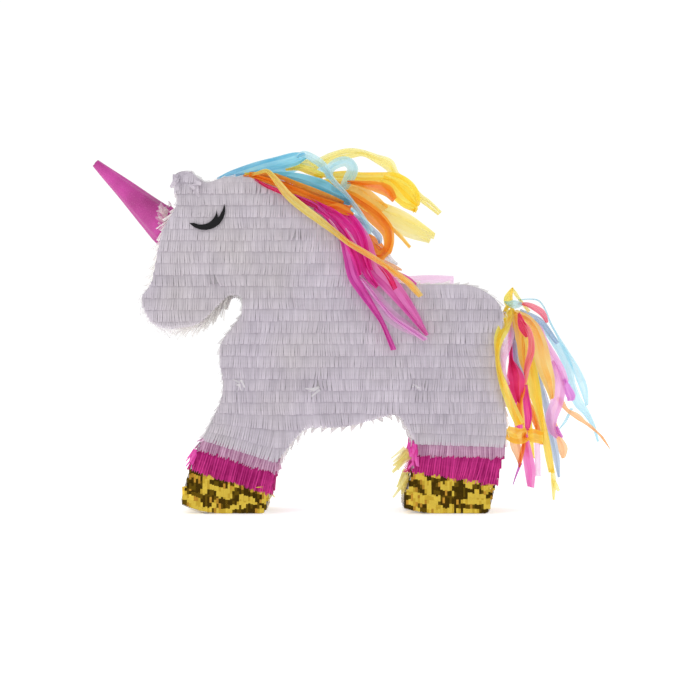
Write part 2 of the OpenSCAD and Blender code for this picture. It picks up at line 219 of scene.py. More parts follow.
FOIL_REFLECTION_STOPS = [  # painted reflection, from which tone up, and the colour there: near black for facets that reflect the dark room, bright gold for facets that reflect the lamps
    (0.0, (0.05, 0.028, 0.001)), (0.14, (0.11, 0.065, 0.003)), (0.3, (0.50, 0.26, 0.03)),
    (0.5, (0.64, 0.42, 0.04)), (0.64, (0.80, 0.57, 0.07)), (0.88, (1.0, 0.85, 0.36)),
]


def foil_material():
    """Cut metallised film with painted reflections: one flat bright or dark tone for each small
    crease, standing for what it reflects.
    """
    n = Nodes("gold_foil")
    colour = n.add("ShaderNodeValToRGB", Fac=n.tone())
    ramp = colour.color_ramp
    ramp.interpolation = "CONSTANT"
    while len(ramp.elements) < len(FOIL_REFLECTION_STOPS):
        ramp.elements.new(0.5)
    for element, (place, value) in zip(ramp.elements, FOIL_REFLECTION_STOPS):
        element.position, element.color = place, rgba(value)
    rough = n.ramp(n.noise(700), 0, 1, 0.12, 0.3)
    return n.finish(n.paper(Base_Color=colour.outputs[0], Metallic=0.7, Specular_IOR_Level=0.1,
                            Roughness=rough, Normal=n.bump(n.noise(160, 2.0), 0.4 * MM)))


def horn_material():
    """Satin magenta paper over card, with deeper patches and pale fibres."""
    n = Nodes("horn_paper")
    patches, fibres = n.noise(22), n.noise(1400)
    colour = n.mix(n.ramp(patches, 0.35, 0.7), rgba((0.62, 0.045, 0.37)), rgba((0.38, 0.015, 0.20)))
    colour = n.mix(n.ramp(fibres, 0.5, 0.9), colour, rgba((0.78, 0.14, 0.52)))
    paper = n.paper(Base_Color=colour, Roughness=0.42, Normal=n.bump(fibres, 0.05 * MM),
                    Coat_Weight=0.15, Coat_Roughness=0.4)
    lit = n.add("ShaderNodeBsdfTranslucent", Color=colour).outputs[0]
    return n.finish(n.blend(0.12, paper, lit))


def board_material(name, face, fleck):
    """Paperboard: fibres, faint flute lines and small flecks."""
    n = Nodes(name)
    fibres, blotches = n.noise(900, 4.0, (1, 1, 0.2)), n.noise(35)
    flutes = n.bands("Z", 70.0, 0.4)
    colour = n.mix(n.ramp(fibres, 0.4, 0.75), rgba(face), rgba(fleck))
    colour = n.mix(n.ramp(blotches, 0.4, 0.9), colour, rgba(face, 0.85))
    return n.finish(n.paper(Base_Color=colour, Roughness=0.85,
                            Normal=n.bump(n.total(fibres, flutes), 0.12 * MM)))


def sticker_material():
    """Black card with a faint sheen and paper grain."""
    n = Nodes("black_card")
    grain = n.noise(1500)
    black, grey = rgba((0.003, 0.003, 0.004)), rgba((0.010, 0.009, 0.011))
    colour = n.mix(n.ramp(grain, 0.4, 0.8), black, grey)
    return n.finish(n.paper(Base_Color=colour, Roughness=0.6, Specular_IOR_Level=0.2,
                            Normal=n.bump(grain, 0.04 * MM)))


def cord_material():
    """Twisted cotton: light and dark bands round the strand, the dark ones painted shade in the
    grooves of the twist.
    """
    n = Nodes("cotton_cord")
    strands_and_groove_shade = n.bands("DIAGONAL", 380.0)
    colour = n.mix(strands_and_groove_shade, rgba((0.55, 0.52, 0.46)), rgba((0.86, 0.84, 0.78)))
    return n.finish(n.paper(Base_Color=colour, Roughness=0.9, Normal=n.bump(strands_and_groove_shade, 0.2 * MM)))


# painted light and shade: the same white tissue in three copies, darker on the flat faces as if in
# shade, and near white at the edges, jaw, forehead and horn collar as if backlit
white_tissue_painted_shade = tissue("white_tissue_painted_shade", (0.72, 0.66, 0.74), (0.47, 0.425, 0.49), glow=0.12,
                      stain=(0.72, 0.67, 0.64))
edge_tissue_painted_light = tissue("edge_tissue_painted_light", (0.99, 0.98, 0.98), (0.88, 0.87, 0.88), glow=0.6, clear=0.25)
fluff_tissue_painted_light = tissue("fluff_tissue_painted_light", (1.0, 0.99, 0.97), (0.93, 0.92, 0.88), glow=0.85, clear=0.3)
pale_tissue = tissue("pale_pink_tissue", (0.84, 0.56, 0.74), (0.42, 0.18, 0.32), glow=0.15)
magenta_tissue = tissue("magenta_tissue", (0.86, 0.06, 0.38), (0.34, 0.0, 0.12), glow=0.15)
bright_pink_tissue = tissue("bright_pink_tissue", (0.97, 0.22, 0.68), (0.80, 0.04, 0.40))
pale_film = tissue("pale_gold_film", (0.98, 0.94, 0.52), (0.86, 0.74, 0.20), glow=0.4, clear=0.3,
                   roughness=0.3)
gold_foil = foil_material()
horn_paper = horn_material()
black_card = sticker_material()
kraft_board = board_material("kraft_board", (0.42, 0.28, 0.16), (0.30, 0.19, 0.10))
white_board = board_material("white_board", (0.74, 0.71, 0.74), (0.62, 0.59, 0.62))
# painted shade: the side panels are grey so that the gaps between the fingers laid on them look
# shadowed
painted_shade_board = board_material("painted_shade_board", (0.50, 0.47, 0.50), (0.42, 0.40, 0.42))
cotton_cord = cord_material()

# Streamer papers: the mane's node that the colour stands for, then light, dark, glow and clear.
PAPERS = {
    "blue": ("mane_blue", (0.40, 0.84, 1.0), (0.05, 0.48, 0.78)),
    "deep_blue": ("mane_blue", (0.22, 0.70, 0.90), (0.03, 0.36, 0.62)),
    "pale_blue": ("mane_blue", (0.66, 0.92, 0.98), (0.38, 0.74, 0.90), 0.5, 0.25),
    "grey_blue": ("mane_blue", (0.56, 0.70, 0.88), (0.30, 0.44, 0.62), 0.4, 0.2),
    "yellow": ("mane_yellow", (1.0, 0.93, 0.20), (1.0, 0.68, 0.02)),
    "pale_yellow": ("mane_yellow", (1.0, 0.96, 0.50), (0.98, 0.86, 0.20), 0.5, 0.15),
    "mustard": ("mane_yellow", (0.98, 0.88, 0.34), (0.82, 0.58, 0.08), 0.35, 0.05),
    "gold": ("mane_orange", (1.0, 0.80, 0.12), (1.0, 0.48, 0.01)),
    "amber": ("mane_orange", (1.0, 0.83, 0.30), (1.0, 0.55, 0.05)),
    "orange": ("mane_orange", (1.0, 0.46, 0.05), (0.88, 0.17, 0.005)),
    "peach": ("mane_orange", (1.0, 0.70, 0.38), (0.95, 0.45, 0.14), 0.5, 0.2),
    "magenta": ("mane_magenta", (1.0, 0.10, 0.58), (0.70, 0.0, 0.26)),
    "fuchsia": ("mane_magenta", (0.95, 0.20, 0.66), (0.62, 0.02, 0.34), 0.4, 0.08),
    "crimson": ("mane_magenta", (1.0, 0.09, 0.34), (0.68, 0.005, 0.09)),
    "coral": ("mane_magenta", (1.0, 0.38, 0.46), (0.85, 0.12, 0.24)),
    "pink": ("mane_magenta", (1.0, 0.36, 0.76), (0.80, 0.08, 0.46), 0.4, 0.1),
    "violet": ("mane_magenta", (0.90, 0.40, 0.88), (0.62, 0.11, 0.60)),
    "orchid": ("mane_magenta", (0.97, 0.62, 0.90), (0.82, 0.30, 0.72), 0.5, 0.2),
    "pale_pink": ("mane_magenta", (0.97, 0.76, 0.93), (0.88, 0.50, 0.80), 0.5, 0.3),
    "white": ("mane_blue", (0.90, 0.92, 0.96), (0.72, 0.76, 0.86), 0.5, 0.2),
}
STREAMERS = {name: streamer_tissue(f"{name}_streamer", *look)
             for name, (_, *look) in PAPERS.items()}


# ---------------------------------------------------------------- the body's outline
def panel_outline():
    """The body's outline, anticlockwise as (x, z), read from the near panel's outer face."""
    mesh = nodes["side_panel_left"].data
    corners = [(round(v.co.x, 6), round(v.co.z, 6)) for v in mesh.vertices]
    on_face = [abs(v.co.y - NEAR_FACE) < 0.01 * MM for v in mesh.vertices]
    uses = {}
    for polygon in mesh.polygons:
        if all(on_face[i] for i in polygon.vertices):
            for a, b in zip(polygon.vertices, [*polygon.vertices[1:], polygon.vertices[0]]):
                edge = frozenset((corners[a], corners[b]))
                uses[edge] = uses.get(edge, 0) + 1
    follow = {}
    for edge, count in uses.items():
        if count == 1 and len(edge) == 2:
            a, b = edge
            follow.setdefault(a, []).append(b)
            follow.setdefault(b, []).append(a)
    loop, last = [min(follow)], None
    while len(loop) <= len(follow):
        ahead = next(p for p in follow[loop[-1]] if p != last)
        last = loop[-1]
        if ahead == loop[0]:
            break
        loop.append(ahead)
    loop = np.array(loop)
    x, z = loop.T
    area = np.sum(x * np.roll(z, -1) - np.roll(x, -1) * z)
    return loop if area > 0 else loop[::-1].copy()


outline = panel_outline()
steps = np.roll(outline, -1, 0) - outline
edge_normals = np.stack([steps[:, 1], -steps[:, 0]], 1) / np.linalg.norm(steps, axis=1)[:, None]
normals = edge_normals + np.roll(edge_normals, 1, 0)
normals /= np.linalg.norm(normals, axis=1)[:, None]
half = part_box("side_panel_right")[1].y


def spans(x):
    """The stretches of z, low to high, where the upright line at x lies inside the outline."""
    a, b = outline, np.roll(outline, -1, 0)
    hit = (a[:, 0] <= x) != (b[:, 0] <= x)
    t = (x - a[hit, 0]) / (b[hit, 0] - a[hit, 0])
    z = np.sort(a[hit, 1] + t * (b[hit, 1] - a[hit, 1]))
    return list(zip(z[0::2], z[1::2]))


class Chain:
    """A stretch of the outline along one wall, walked from its lower end. Paper is laid on it
    from the share first to the share last of its length."""

    def __init__(self, wall, backwards=False, first=0.0, last=1.0):
        corners = np.array([(v.co.x, v.co.z) for v in nodes[wall].data.vertices])
        inside = [np.linalg.norm(corners - p, axis=1).min() < 0.05 * MM for p in outline]
        start = next(i for i, hit in enumerate(inside) if hit and not inside[i - 1])
        count = 1
        while inside[(start + count) % len(outline)]:
            count += 1
        where = [(start + k) % len(outline) for k in range(count)]
        if backwards:
            where.reverse()
        self.points, self.normals = outline[where], normals[where]
        runs = np.linalg.norm(np.diff(self.points, axis=0), axis=1)
        self.places = np.concatenate([[0], np.cumsum(runs)])
        self.first = self.places[-1] * first
        self.length = self.places[-1] * last

    def at(self, place):
        """(point, outward normal) at that distance from the lower end, as (x, z) pairs."""
        point = [np.interp(place, self.places, self.points[:, k]) for k in (0, 1)]
        normal = [np.interp(place, self.places, self.normals[:, k]) for k in (0, 1)]
        return np.array(point), unit(np.array(normal))


# ---------------------------------------------------------------- rows of cut paper
ROW = 12.7 * MM
FINGER = 2.5 * MM
OVERLAP = 3 * MM
GLUE = 0.3 * MM
FLOOR_GAP = 0.3 * MM
SHORTEST = 3.5 * MM

FRONT_LEG_X, REAR_LEG_X = -135 * MM, 117 * MM
FRONT_SLANT = math.tan(math.radians(-17))
REAR_SLANT = math.tan(math.radians(-7))
REAR_RISE = 3 * MM
HOOF, BAND, PALE, LEVEL = 34 * MM, 59 * MM, 72 * MM, 116 * MM   # where each kind of row starts


def row_height(x, level):
    """Height at x of the row line that starts at that level: the lines slant across the legs."""
    ease = smooth(level, 0, HOOF) * (1 - smooth(level, PALE, LEVEL))
    front = (1 - smooth(x, -60 * MM, 0)) * (min(x, -85 * MM) - FRONT_LEG_X) * FRONT_SLANT
    lean = 1.3 - smooth(level, HOOF, BAND)
    rear = smooth(x, 40 * MM, 75 * MM) * ((x - REAR_LEG_X) * REAR_SLANT * lean + REAR_RISE)
    return level + ease * (front + rear)


row_lines = [0.0, HOOF, BAND, PALE]
while row_lines[-1] < 400 * MM:     # up to the ear
    row_lines.append(row_lines[-1] + ROW)


class Cuttings:
    """Fingers of cut paper, gathered into one mesh."""

    def __init__(self, name, material, soft=True):
        self.name, self.material, self.soft = name, material, soft
        self.points, self.faces, self.tones = [], [], []

    def add(self, path, across, tones, ridge=0.0):
        """One finger along path. across is its half width as a vector at each point, and ridge
        lifts its middle line, so that it is curled across."""
        first = len(self.points)
        for p, m, a in zip(path, path + ridge, across):
            self.points += [p - a, m, p + a]
        for k in range(len(path) - 1):
            i = first + 3 * k
            self.faces += [(i, i + 1, i + 4, i + 3), (i + 1, i + 2, i + 5, i + 4)]
            self.tones += [tones[k]] * 2

    def build(self, body, *replaced):
        above_floor = [(x, y, max(z, FLOOR_GAP)) for x, y, z in self.points]
        piece = new_object(self.name, above_floor, self.faces, self.material, self.soft)
        paint_tones(piece, self.tones)
        if replaced:
            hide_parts(*replaced)
        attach(piece, body)


STEPS = 5
TAPER = 0.16
ROOT_SHADOW_STEP = 0.09        # painted shadow: each step down a finger is this much paler, so the root under the row above is darker
run = np.linspace(0, 1, STEPS)


def finger(cuttings, root, down, out, side_way, length, lift, drop=0.0, drift=0.0, twist=0.0,
           width=FINGER, tone=0.6, hug=None, curl=0.0, taper=TAPER):
    """A paper finger from root. It runs along down, lifts along out, drops by gravity, drifts
    sideways, twists and curls across. hug, where given, is a function that gives the surface
    under it."""
    u = run[:, None]
    if hug is None:
        path = root + down * length * u + out * (GLUE + lift * u ** 1.5)
    else:
        path = hug(run * length, GLUE + lift * run ** 1.5)
    path = path + side_way * (drift * u ** 1.6) - Z * (drop * u ** 1.7)
    half_width = width / 2 * (1 - taper * run ** 2)
    angle = twist * run ** 0.7
    across = (side_way * (np.cos(angle) * half_width)[:, None]
              + out * (np.sin(angle) * half_width)[:, None])
    # painted shadow: the finger is darker at its root, under the tips of the row above, and paler
    # towards its tip
    tones = [tone + ROOT_SHADOW_STEP * k - 0.16 for k in range(STEPS - 1)]
    cuttings.add(path, across, tones, out * (curl * run)[:, None])


def strip_habits(rng, count):
    """The shared habits of one glued strip of fingers, strip after strip along a row."""
    habits = []
    while len(habits) < count:
        strip = dict(raised=rng.normal(0, 0.35) * MM, lift=rng.uniform(0, 0.4) * MM,
                     lean=rng.normal(0, 0.4) * MM, tone=rng.normal(0, 0.05))
        habits += [strip] * int(rng.integers(14, 50))
    return habits[:count]


eye_low, eye_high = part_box("eyelash_left")
EYE_MARGIN = 4 * MM
EYE_LIFT = 1.3 * MM     # fingers under the eyelash lift no more than this
RUFFLES = [(-40, 138, 9), (76, 134, 8), (-97, 356, 6), (-150, 250, 5), (20, 205, 5), (-60, 300, 5)]


def near_eye(x, z):
    return (eye_low.x - EYE_MARGIN < x < eye_high.x + EYE_MARGIN
            and eye_low.z - 2 * EYE_MARGIN < z < eye_high.z + EYE_MARGIN)


def ruffle_at(x, z):
    """How disturbed the paper is there, from 0 to 1: a few spots were brushed against."""
    return max(math.exp(-((x - rx * MM) ** 2 + (z - rz * MM) ** 2) / (r * MM) ** 2)
               for rx, rz, r in RUFFLES)


def inside(x, z):
    return any(bottom < z < top for bottom, top in spans(x))


class RowStyle:
    """How the fingers of a row hang: how uneven, how twisted and how wide they are."""

    def __init__(self, jitter, spill, lift, twist, tone_spread, width, uneven, taper):
        self.jitter, self.spill, self.lift = jitter * MM, spill * MM, lift * MM
        self.twist, self.tone_spread = math.radians(twist), tone_spread
        self.width, self.uneven, self.taper = width, uneven, taper


WHITE_ROW = RowStyle(0.22, 2.5, 0, 9, 0.09, 1.0, 0.06, TAPER)
BAND_ROW = RowStyle(0.9, 1, 0.5, 18, 0.16, 0.78, 0, 0.6)
ROW_TONE = 0.55
STEEP = 0.03            # fingers of a row that slopes more than this lean with it
ODD_ONE = 0.985         # one finger in 67 stands out more
UNDER_LAYER_SHADE = 0.3        # painted shade: how much darker a band's second layer is, so the slits between its fingers look shadowed


def face_rows(side, pick, seed):
    """Lays the rows of fingers on one flat face, above the hooves. pick says which cuttings a
    finger belongs to. The coloured bands have a second layer under the first."""
    rng = np.random.default_rng(seed)
    low_x, high_x = outline[:, 0].min(), outline[:, 0].max()
    out = side * Y
    for level, above in zip(row_lines[1:], row_lines[2:]):
        paper = "magenta" if level < BAND else "pale" if level < PALE else "white"
        banded = paper != "white"
        style = BAND_ROW if banded else WHITE_ROW
        places = np.arange(low_x + rng.uniform(0, FINGER), high_x, FINGER)
        for x, strip in zip(places, strip_habits(rng, len(places))):
            draws = rng.normal(0, 1, 5)
            odd = rng.random()
            slope = (row_height(x + MM, level) - row_height(x - MM, level)) / (2 * MM)
            for bottom, top in spans(x):
                tip = row_height(x, level) + strip["raised"] * (not banded)
                tip = max(tip + style.jitter * draws[0], bottom - style.spill, FLOOR_GAP)
                root = min(row_height(x, above) + OVERLAP, top - 0.3 * MM)
                length = root - tip
                if length < SHORTEST:
                    continue
                down, start = -Z, np.array([x, side * half, root])
                if abs(slope) > STEEP:
                    leaning = unit(np.array([slope, 0, -1]))
                    foot = np.array([x, side * half, tip]) + leaning * length / leaning[2]
                    if inside(foot[0], root):
                        down, start = leaning, foot
                lift = (1.2 + 0.2 * abs(draws[1])) * MM + strip["lift"] + style.lift
                twist = style.twist * draws[2]
                lean = 2.2 * MM * ripple(x * 26, level * 33, seed)
                drift = strip["lean"] + lean + draws[3] * 0.22 * MM
                wild = ruffle_at(x, tip)
                if odd > ODD_ONE:
                    twist, lift = twist * 2.5, lift + 1.6 * MM
                lift += wild * (1.6 + 1.6 * odd) * MM
                drift += wild * draws[3] * 3 * MM
                twist += wild * draws[2] * 0.6
                if near_eye(x, tip):
                    lift, twist = min(lift, EYE_LIFT), twist * 0.3
                tone = ROW_TONE + strip["tone"] + style.tone_spread * draws[4]
                tone += 0.1 * ripple(x * 14, level * 20, 5)
                target = pick(paper, x, (tip + root) / 2)
                if banded:
                    # painted shade: the second layer under a band is darker, so the slits between
                    # its fingers look shadowed
                    finger(target, np.array([x + FINGER / 2, side * half, root]), -Z, out, X,
                           length - 1 * MM, 0.7 * MM, width=1.3 * FINGER, tone=tone - UNDER_LAYER_SHADE)
                finger(target, start, down, out, X, length / -down[2],
                       lift * min(1, length / ROW), drift=drift * length / ROW, twist=twist,
                       tone=tone, width=FINGER * (style.width - style.uneven * odd),
                       curl=0.3 * MM * draws[0], taper=style.taper)


head_low, head_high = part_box("fringe_left_head")
neck_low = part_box("fringe_left_neck")[0].z
trunk_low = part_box("fringe_left_trunk")[0].z
leg_split = (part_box("hoof_foil_front")[1].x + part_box("hoof_foil_rear")[0].x) / 2
BANDS = {"pale": pale_tissue, "magenta": magenta_tissue}


def band_cuttings(place):
    """Empty cuttings for both bands of both legs, by paper and leg."""
    return {(paper, leg): Cuttings(f"{paper}_fringe_{leg}_{place}", BANDS[paper])
            for paper in BANDS for leg in LEGS}


def build_bands(bands):
    for (paper, leg), cuttings in bands.items():
        cuttings.build("root", f"band_{paper}_{leg}")


def face_paper(side, word):
    """All the tissue on one flat face, split where the CAD fringe is split."""
    zones = {zone: Cuttings(f"fringe_{word}_{zone}", white_tissue_painted_shade)
             for zone in ("head", "neck", "trunk", "legs")}
    bands = band_cuttings(word)

    def pick(paper, x, z):
        if paper != "white":
            return bands[paper, "front" if x < leg_split else "rear"]
        if z < trunk_low:
            return zones["legs"]
        if z > head_low.z and x < head_high.x:
            return zones["head"]
        return zones["neck" if z > neck_low else "trunk"]

    face_rows(side, pick, seed=11 if side == NEAR else 12)
    for zone, cuttings in zones.items():
        cuttings.build("root", f"fringe_{word}_{zone}")
    build_bands(bands)


for side, word in SIDES:
    face_paper(side, word)


# ---------------------------------------------------------------- foil on the hooves
FOIL_FACET = 5 * MM
# painted reflection: tones for facets that reflect dark, middling and bright surroundings
FOIL_REFLECTED_DARK, FOIL_REFLECTED_MID, FOIL_REFLECTED_BRIGHT = 0.12, 0.36, 0.68
REFLECTED_MID_TILT = 0.022


def foil_finger(cuttings, rng, place, root, side_way, out, length, lift, width=FINGER, hug=None):
    """A foil finger creased into flat facets, painted bright or dark as reflections by the way they
    tilt.
    Neighbours share their creases: place is how far along the strip it hangs. root is a point, or
    the level where hug lays it."""
    level = root if hug else root[2]
    parts = max(2, int(round(length / FOIL_FACET)))
    cuts = np.linspace(0, 1, parts + 1)
    cuts[1:-1] += rng.normal(0, 0.1, parts - 1) / parts
    tones, turns, bends = [], [], [0.0]
    for k in range(parts):
        deep = level - (cuts[k] + cuts[k + 1]) / 2 * length
        tilt = ripple(place * 62, deep * 100, 3) + 0.3 * ripple(place * 170, deep * 200, 8)
        tilt += 0.05 * rng.normal()
        # painted reflection: facets tilted one way get the bright tone, the other way the dark one,
        # and nearly edge-on ones the mid tone
        own = FOIL_REFLECTED_BRIGHT if tilt > 0 else FOIL_REFLECTED_DARK
        if abs(tilt) < REFLECTED_MID_TILT:
            own = FOIL_REFLECTED_MID
        tones.append(own + rng.normal(0, 0.09))
        turns.append(0.14 * tilt + rng.normal(0, 0.05))
        bends.append(bends[-1] + (0.05 if tilt > 0 else -0.05) * FOIL_FACET)
    off = np.maximum(GLUE + lift * cuts + np.array(bends), GLUE)
    if hug is None:
        path = root - Z * (length * cuts)[:, None] + out * off[:, None]
    else:
        path = hug(length * cuts, off)
    for k in range(parts):
        across = (side_way * math.cos(turns[k]) + out * math.sin(turns[k])) * (width / 2 * 1.04)
        cuttings.add(path[k:k + 2], [across, across], [min(max(tones[k], 0.0), 1.0)])


def foil_faces(cuttings, leg_low, leg_high, seed):
    """Two rows of foil on each flat face of one hoof, the lower one glued on first."""
    rng = np.random.default_rng(seed)
    for side, _ in SIDES:
        for low, high, lift in ((0.0, 0.5, 0.9 * MM), (0.5, 1.0, 1.5 * MM)):
            for x in np.arange(leg_low, leg_high, FINGER):
                line = row_height(x, HOOF)
                for bottom, top in spans(x):
                    if bottom >= line - 3 * MM:
                        continue
                    tip = bottom + (line - bottom) * low + (0.2 + 0.5 * rng.random()) * MM
                    root = min(bottom + (line - bottom) * high + OVERLAP, top)
                    foil_finger(cuttings, rng, x + side, np.array([x, side * half, root]), X,
                                side * Y, root - tip, lift)


# ---------------------------------------------------------------- paper on the walls
horn_ring_low, horn_ring_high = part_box("horn_base_ring")
horn_foot = (horn_ring_low + horn_ring_high) / 2
horn_clear = (horn_ring_high - horn_ring_low).y / 2 + 1 * MM
flap_low, flap_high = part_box("fill_flap")
loop_low, loop_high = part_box("tail_loop")
hole_places = [Vector(m["pos_m"]) for m in frame["record"]["mounts"] if m["kind"] == "bore"]
HOLE_CLEAR = 8 * MM
LOOP_CLEAR = 7 * MM


def wall_is_open(x, y, z):
    """True where the wall's paper leaves room: under the horn, at the flap, the loop, the holes."""
    here = Vector((x, y, z))
    at_horn = (here - horn_foot).length < horn_clear
    at_flap = (flap_low.x - 1 * MM < x < flap_high.x + 6 * MM and abs(y) < flap_high.y + 1 * MM
               and z > flap_low.z - 4 * MM)
    at_loop = (abs(y) < loop_high.y + 2 * MM and abs(z - loop_low.z) < LOOP_CLEAR
               and x > loop_low.x)
    return at_horn or at_flap or at_loop or any((here - p).length < HOLE_CLEAR for p in hole_places)


class Wall:
    """How the paper lies on one wall: how far it lifts, drops and reaches, and whose leg it is."""

    def __init__(self, name, chain, lift, drop=0.0, length=15, leg=None, tuft=0.0, width=2.5):
        self.name, self.chain, self.leg, self.width = name, chain, leg, width * MM
        self.lift, self.drop, self.length, self.tuft = lift * MM, drop * MM, length * MM, tuft * MM


EDGE = 14 * MM          # how far in from a rim the paper is looser


def wall_strip(cuttings, rng, wall, tip, length, lift, drop, foil=False, tuft=0.0, width=FINGER):
    """One strip of fingers across a wall, with the tips at that place on its chain."""
    chain = wall.chain
    count = int(round(2 * half / width))
    widths = 2 * half / count
    habits = strip_habits(rng, count)
    root_at = min(tip + length, chain.length)
    reach = root_at - tip
    if reach < 3 * MM:
        return
    wave = rng.uniform(0, 100)
    (x, z), n2 = chain.at(tip + reach * 0.3)
    out = np.array([n2[0], 0, n2[1]])
    for k, strip in enumerate(habits):
        y = -half + (k + 0.5) * widths
        draws = rng.normal(0, 1, 5)
        odd = rng.random()
        if wall_is_open(x, y, z):
            continue
        near_edge = smooth(abs(y), half - EDGE, half)
        flare = 1 + 0.5 * near_edge * abs(draws[0]) + (1.8 if odd > 0.97 else 0)
        own_lift = lift * flare * (1 + 0.35 * draws[1]) + strip["lift"]
        own_lift = max(own_lift, 0.5 * MM) + tuft * near_edge * (0.4 + abs(draws[0]))
        limp = max(0.15, 1 + 0.45 * draws[2] + 0.5 * ripple(y * 60, wave))

        def hug(along, off):
            rows = []
            for a, o in zip(along, off):
                p, n = chain.at(root_at - a)
                rows.append([p[0] + n[0] * o, y, p[1] + n[1] * o])
            return np.array(rows)

        if foil:
            foil_finger(cuttings, rng, y + wave, tip, Y, out, reach, own_lift * 0.3, widths, hug)
        else:
            finger(cuttings, None, None, out, Y, reach, own_lift,
                   drop=drop * max(0.0, -n2[1]) * limp, drift=draws[4] * 0.9 * MM + strip["lean"],
                   twist=0.35 * draws[0], width=widths,
                   tone=0.6 + 0.12 * draws[3] + strip["tone"], hug=hug, curl=0.3 * MM * draws[1])


def place_of_level(chain, level):
    """How far along the chain the row line of that level is reached."""
    for place in np.arange(chain.first, chain.length, 0.5 * MM):
        (x, z), _ = chain.at(place)
        if z >= row_height(x, level):
            return place
    return chain.length


walls = [
    Wall("chest", Chain("wall_chest", True), 1.8, 3, leg="front"),
    Wall("belly", Chain("wall_belly", False, 0, 0.49), 1.6, 5, leg="front"),
    Wall("belly", Chain("wall_belly", True, 0, 0.50), 1.6, 5, leg="rear", tuft=3),
    Wall("rump", Chain("wall_rump"), 1.5, 1, leg="rear"),
    Wall("back", Chain("wall_back"), 1.2),
    Wall("crest", Chain("wall_crest"), 1.3),
    Wall("ear", Chain("wall_ear", False, 0, 0.52), 1.3),
    Wall("ear", Chain("wall_ear", True, 0, 0.46), 1.6),
    Wall("forehead", Chain("wall_forehead", True), 4, 2),
    Wall("muzzle", Chain("wall_muzzle", True), 3, 3),
    Wall("jaw", Chain("wall_jaw"), 3.2, 6, length=14, width=5),
]
chains = {wall.name: wall.chain for wall in walls}
LEG_STRIPS = ((0, HOOF / 2, "foil"), (HOOF / 2, HOOF, "foil"), (HOOF, BAND, "magenta"),
              (BAND, PALE, "pale"))
WALL_STEP = 11 * MM


def wall_paper():
    """The tissue and foil on every wall, strip over strip from its lower end."""
    foils = {leg: Cuttings(f"foil_fringe_{leg}", gold_foil, False) for leg in LEGS}
    bands = band_cuttings("walls")
    edges = {}
    for number, wall in enumerate(walls):
        rng = np.random.default_rng(40 + number)
        paper = fluff_tissue_painted_light if wall.name in ("jaw", "forehead") else edge_tissue_painted_light
        sheet = edges.setdefault(wall.name, Cuttings(f"fringe_edge_{wall.name}", paper))
        place = wall.chain.first
        if wall.leg:
            for low, high, kind in LEG_STRIPS:
                tip = place_of_level(wall.chain, low)
                root = place_of_level(wall.chain, high + OVERLAP)
                target = foils[wall.leg] if kind == "foil" else bands[kind, wall.leg]
                wall_strip(target, rng, wall, max(tip, 0.6 * MM), root - tip, 1.6 * MM, 0,
                           foil=kind == "foil", tuft=wall.tuft)
            place = place_of_level(wall.chain, PALE)
        while place < wall.chain.length - 3 * MM:
            wall_strip(sheet, rng, wall, place, wall.length, wall.lift, wall.drop,
                       width=wall.width)
            place += WALL_STEP

    for name, cuttings in edges.items():
        cuttings.build("root", f"fringe_edge_{name}")
    build_bands(bands)
    for leg, cuttings in foils.items():
        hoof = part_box(f"hoof_foil_{leg}")
        foil_faces(cuttings, hoof[0].x, hoof[1].x, seed=70 + len(leg))
        cuttings.build("root", f"hoof_foil_{leg}")


wall_paper()


def flap_paper():
    """Rows of fingers on the filling flap, which tilts with it."""
    rng = np.random.default_rng(90)
    low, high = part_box("fringe_flap")
    cuttings = Cuttings("fringe_flap_rows", edge_tissue_painted_light)
    x = low.x + 1 * MM
    while x < high.x - 4 * MM:
        root_x = min(x + 15 * MM, high.x)
        count = int((high.y - low.y) / FINGER)
        for k, strip in enumerate(strip_habits(rng, count)):
            draws = rng.normal(0, 1, 4)
            y = low.y + (k + 0.5) * (high.y - low.y) / count
            finger(cuttings, np.array([root_x, y, flap_high.z]), -X, Z, Y, root_x - x,
                   (1.4 + 0.5 * abs(draws[0])) * MM + strip["lift"], drift=draws[1] * 0.4 * MM,
                   twist=0.25 * draws[2], tone=0.6 + 0.1 * draws[3])
        x += WALL_STEP
    cuttings.build("flap", "fringe_flap")


flap_paper()


# ---------------------------------------------------------------- ruffled tufts
TUFTS = [  # paper, root (x, y, z), way (x, z), fingers, length, width, spread, curl
    (bright_pink_tissue, (69, -42, 79), (-0.05, -1), 18, 19, 3.4, 0.20, 5),
    (bright_pink_tissue, (72, -43, 66), (-0.2, -1), 12, 13, 3.0, 0.25, 4),
    (pale_film, (64, -40, 66), (-0.72, -0.72), 9, 29, 4.0, 0.10, 2),
    (pale_film, (62, -38, 40), (-0.45, -0.9), 8, 24, 4.0, 0.14, 2),
    (gold_foil, (150, -43, 30), (0.6, -0.6), 6, 8, 2.2, 0.4, 1),
    (gold_foil, (-98, -44, 28), (0.6, -0.75), 8, 8, 1.2, 0.4, 1),
    (pale_film, (-97, -40, 22), (0.5, -0.85), 6, 12, 3.0, 0.3, 2),
    (bright_pink_tissue, (-171, -43, 68), (-0.45, -0.9), 16, 19, 2.4, 0.14, 2),
    (pale_tissue, (-163, -43, 82), (-0.7, -0.7), 8, 8, 2.0, 0.3, 1),
    (white_tissue_painted_shade, (-191, -46, 371), (0.1, -1), 4, 16, 6.0, 0.25, 2),
    (white_tissue_painted_shade, (-181, -46, 374), (0.35, -1), 4, 14, 6.0, 0.25, 2),
    (white_tissue_painted_shade, (-172, -46, 362), (0.5, -0.8), 5, 12, 5.0, 0.3, 3),
    (edge_tissue_painted_light, (-121, -47, 144), (-0.2, -0.5), 7, 11, 2.4, 0.6, 4),
    (edge_tissue_painted_light, (-36, -47, 138), (-0.9, -0.45), 9, 12, 2.4, 0.5, 4),
    (edge_tissue_painted_light, (71, -47, 140), (0.8, -0.5), 4, 9, 2.0, 0.5, 3),
]


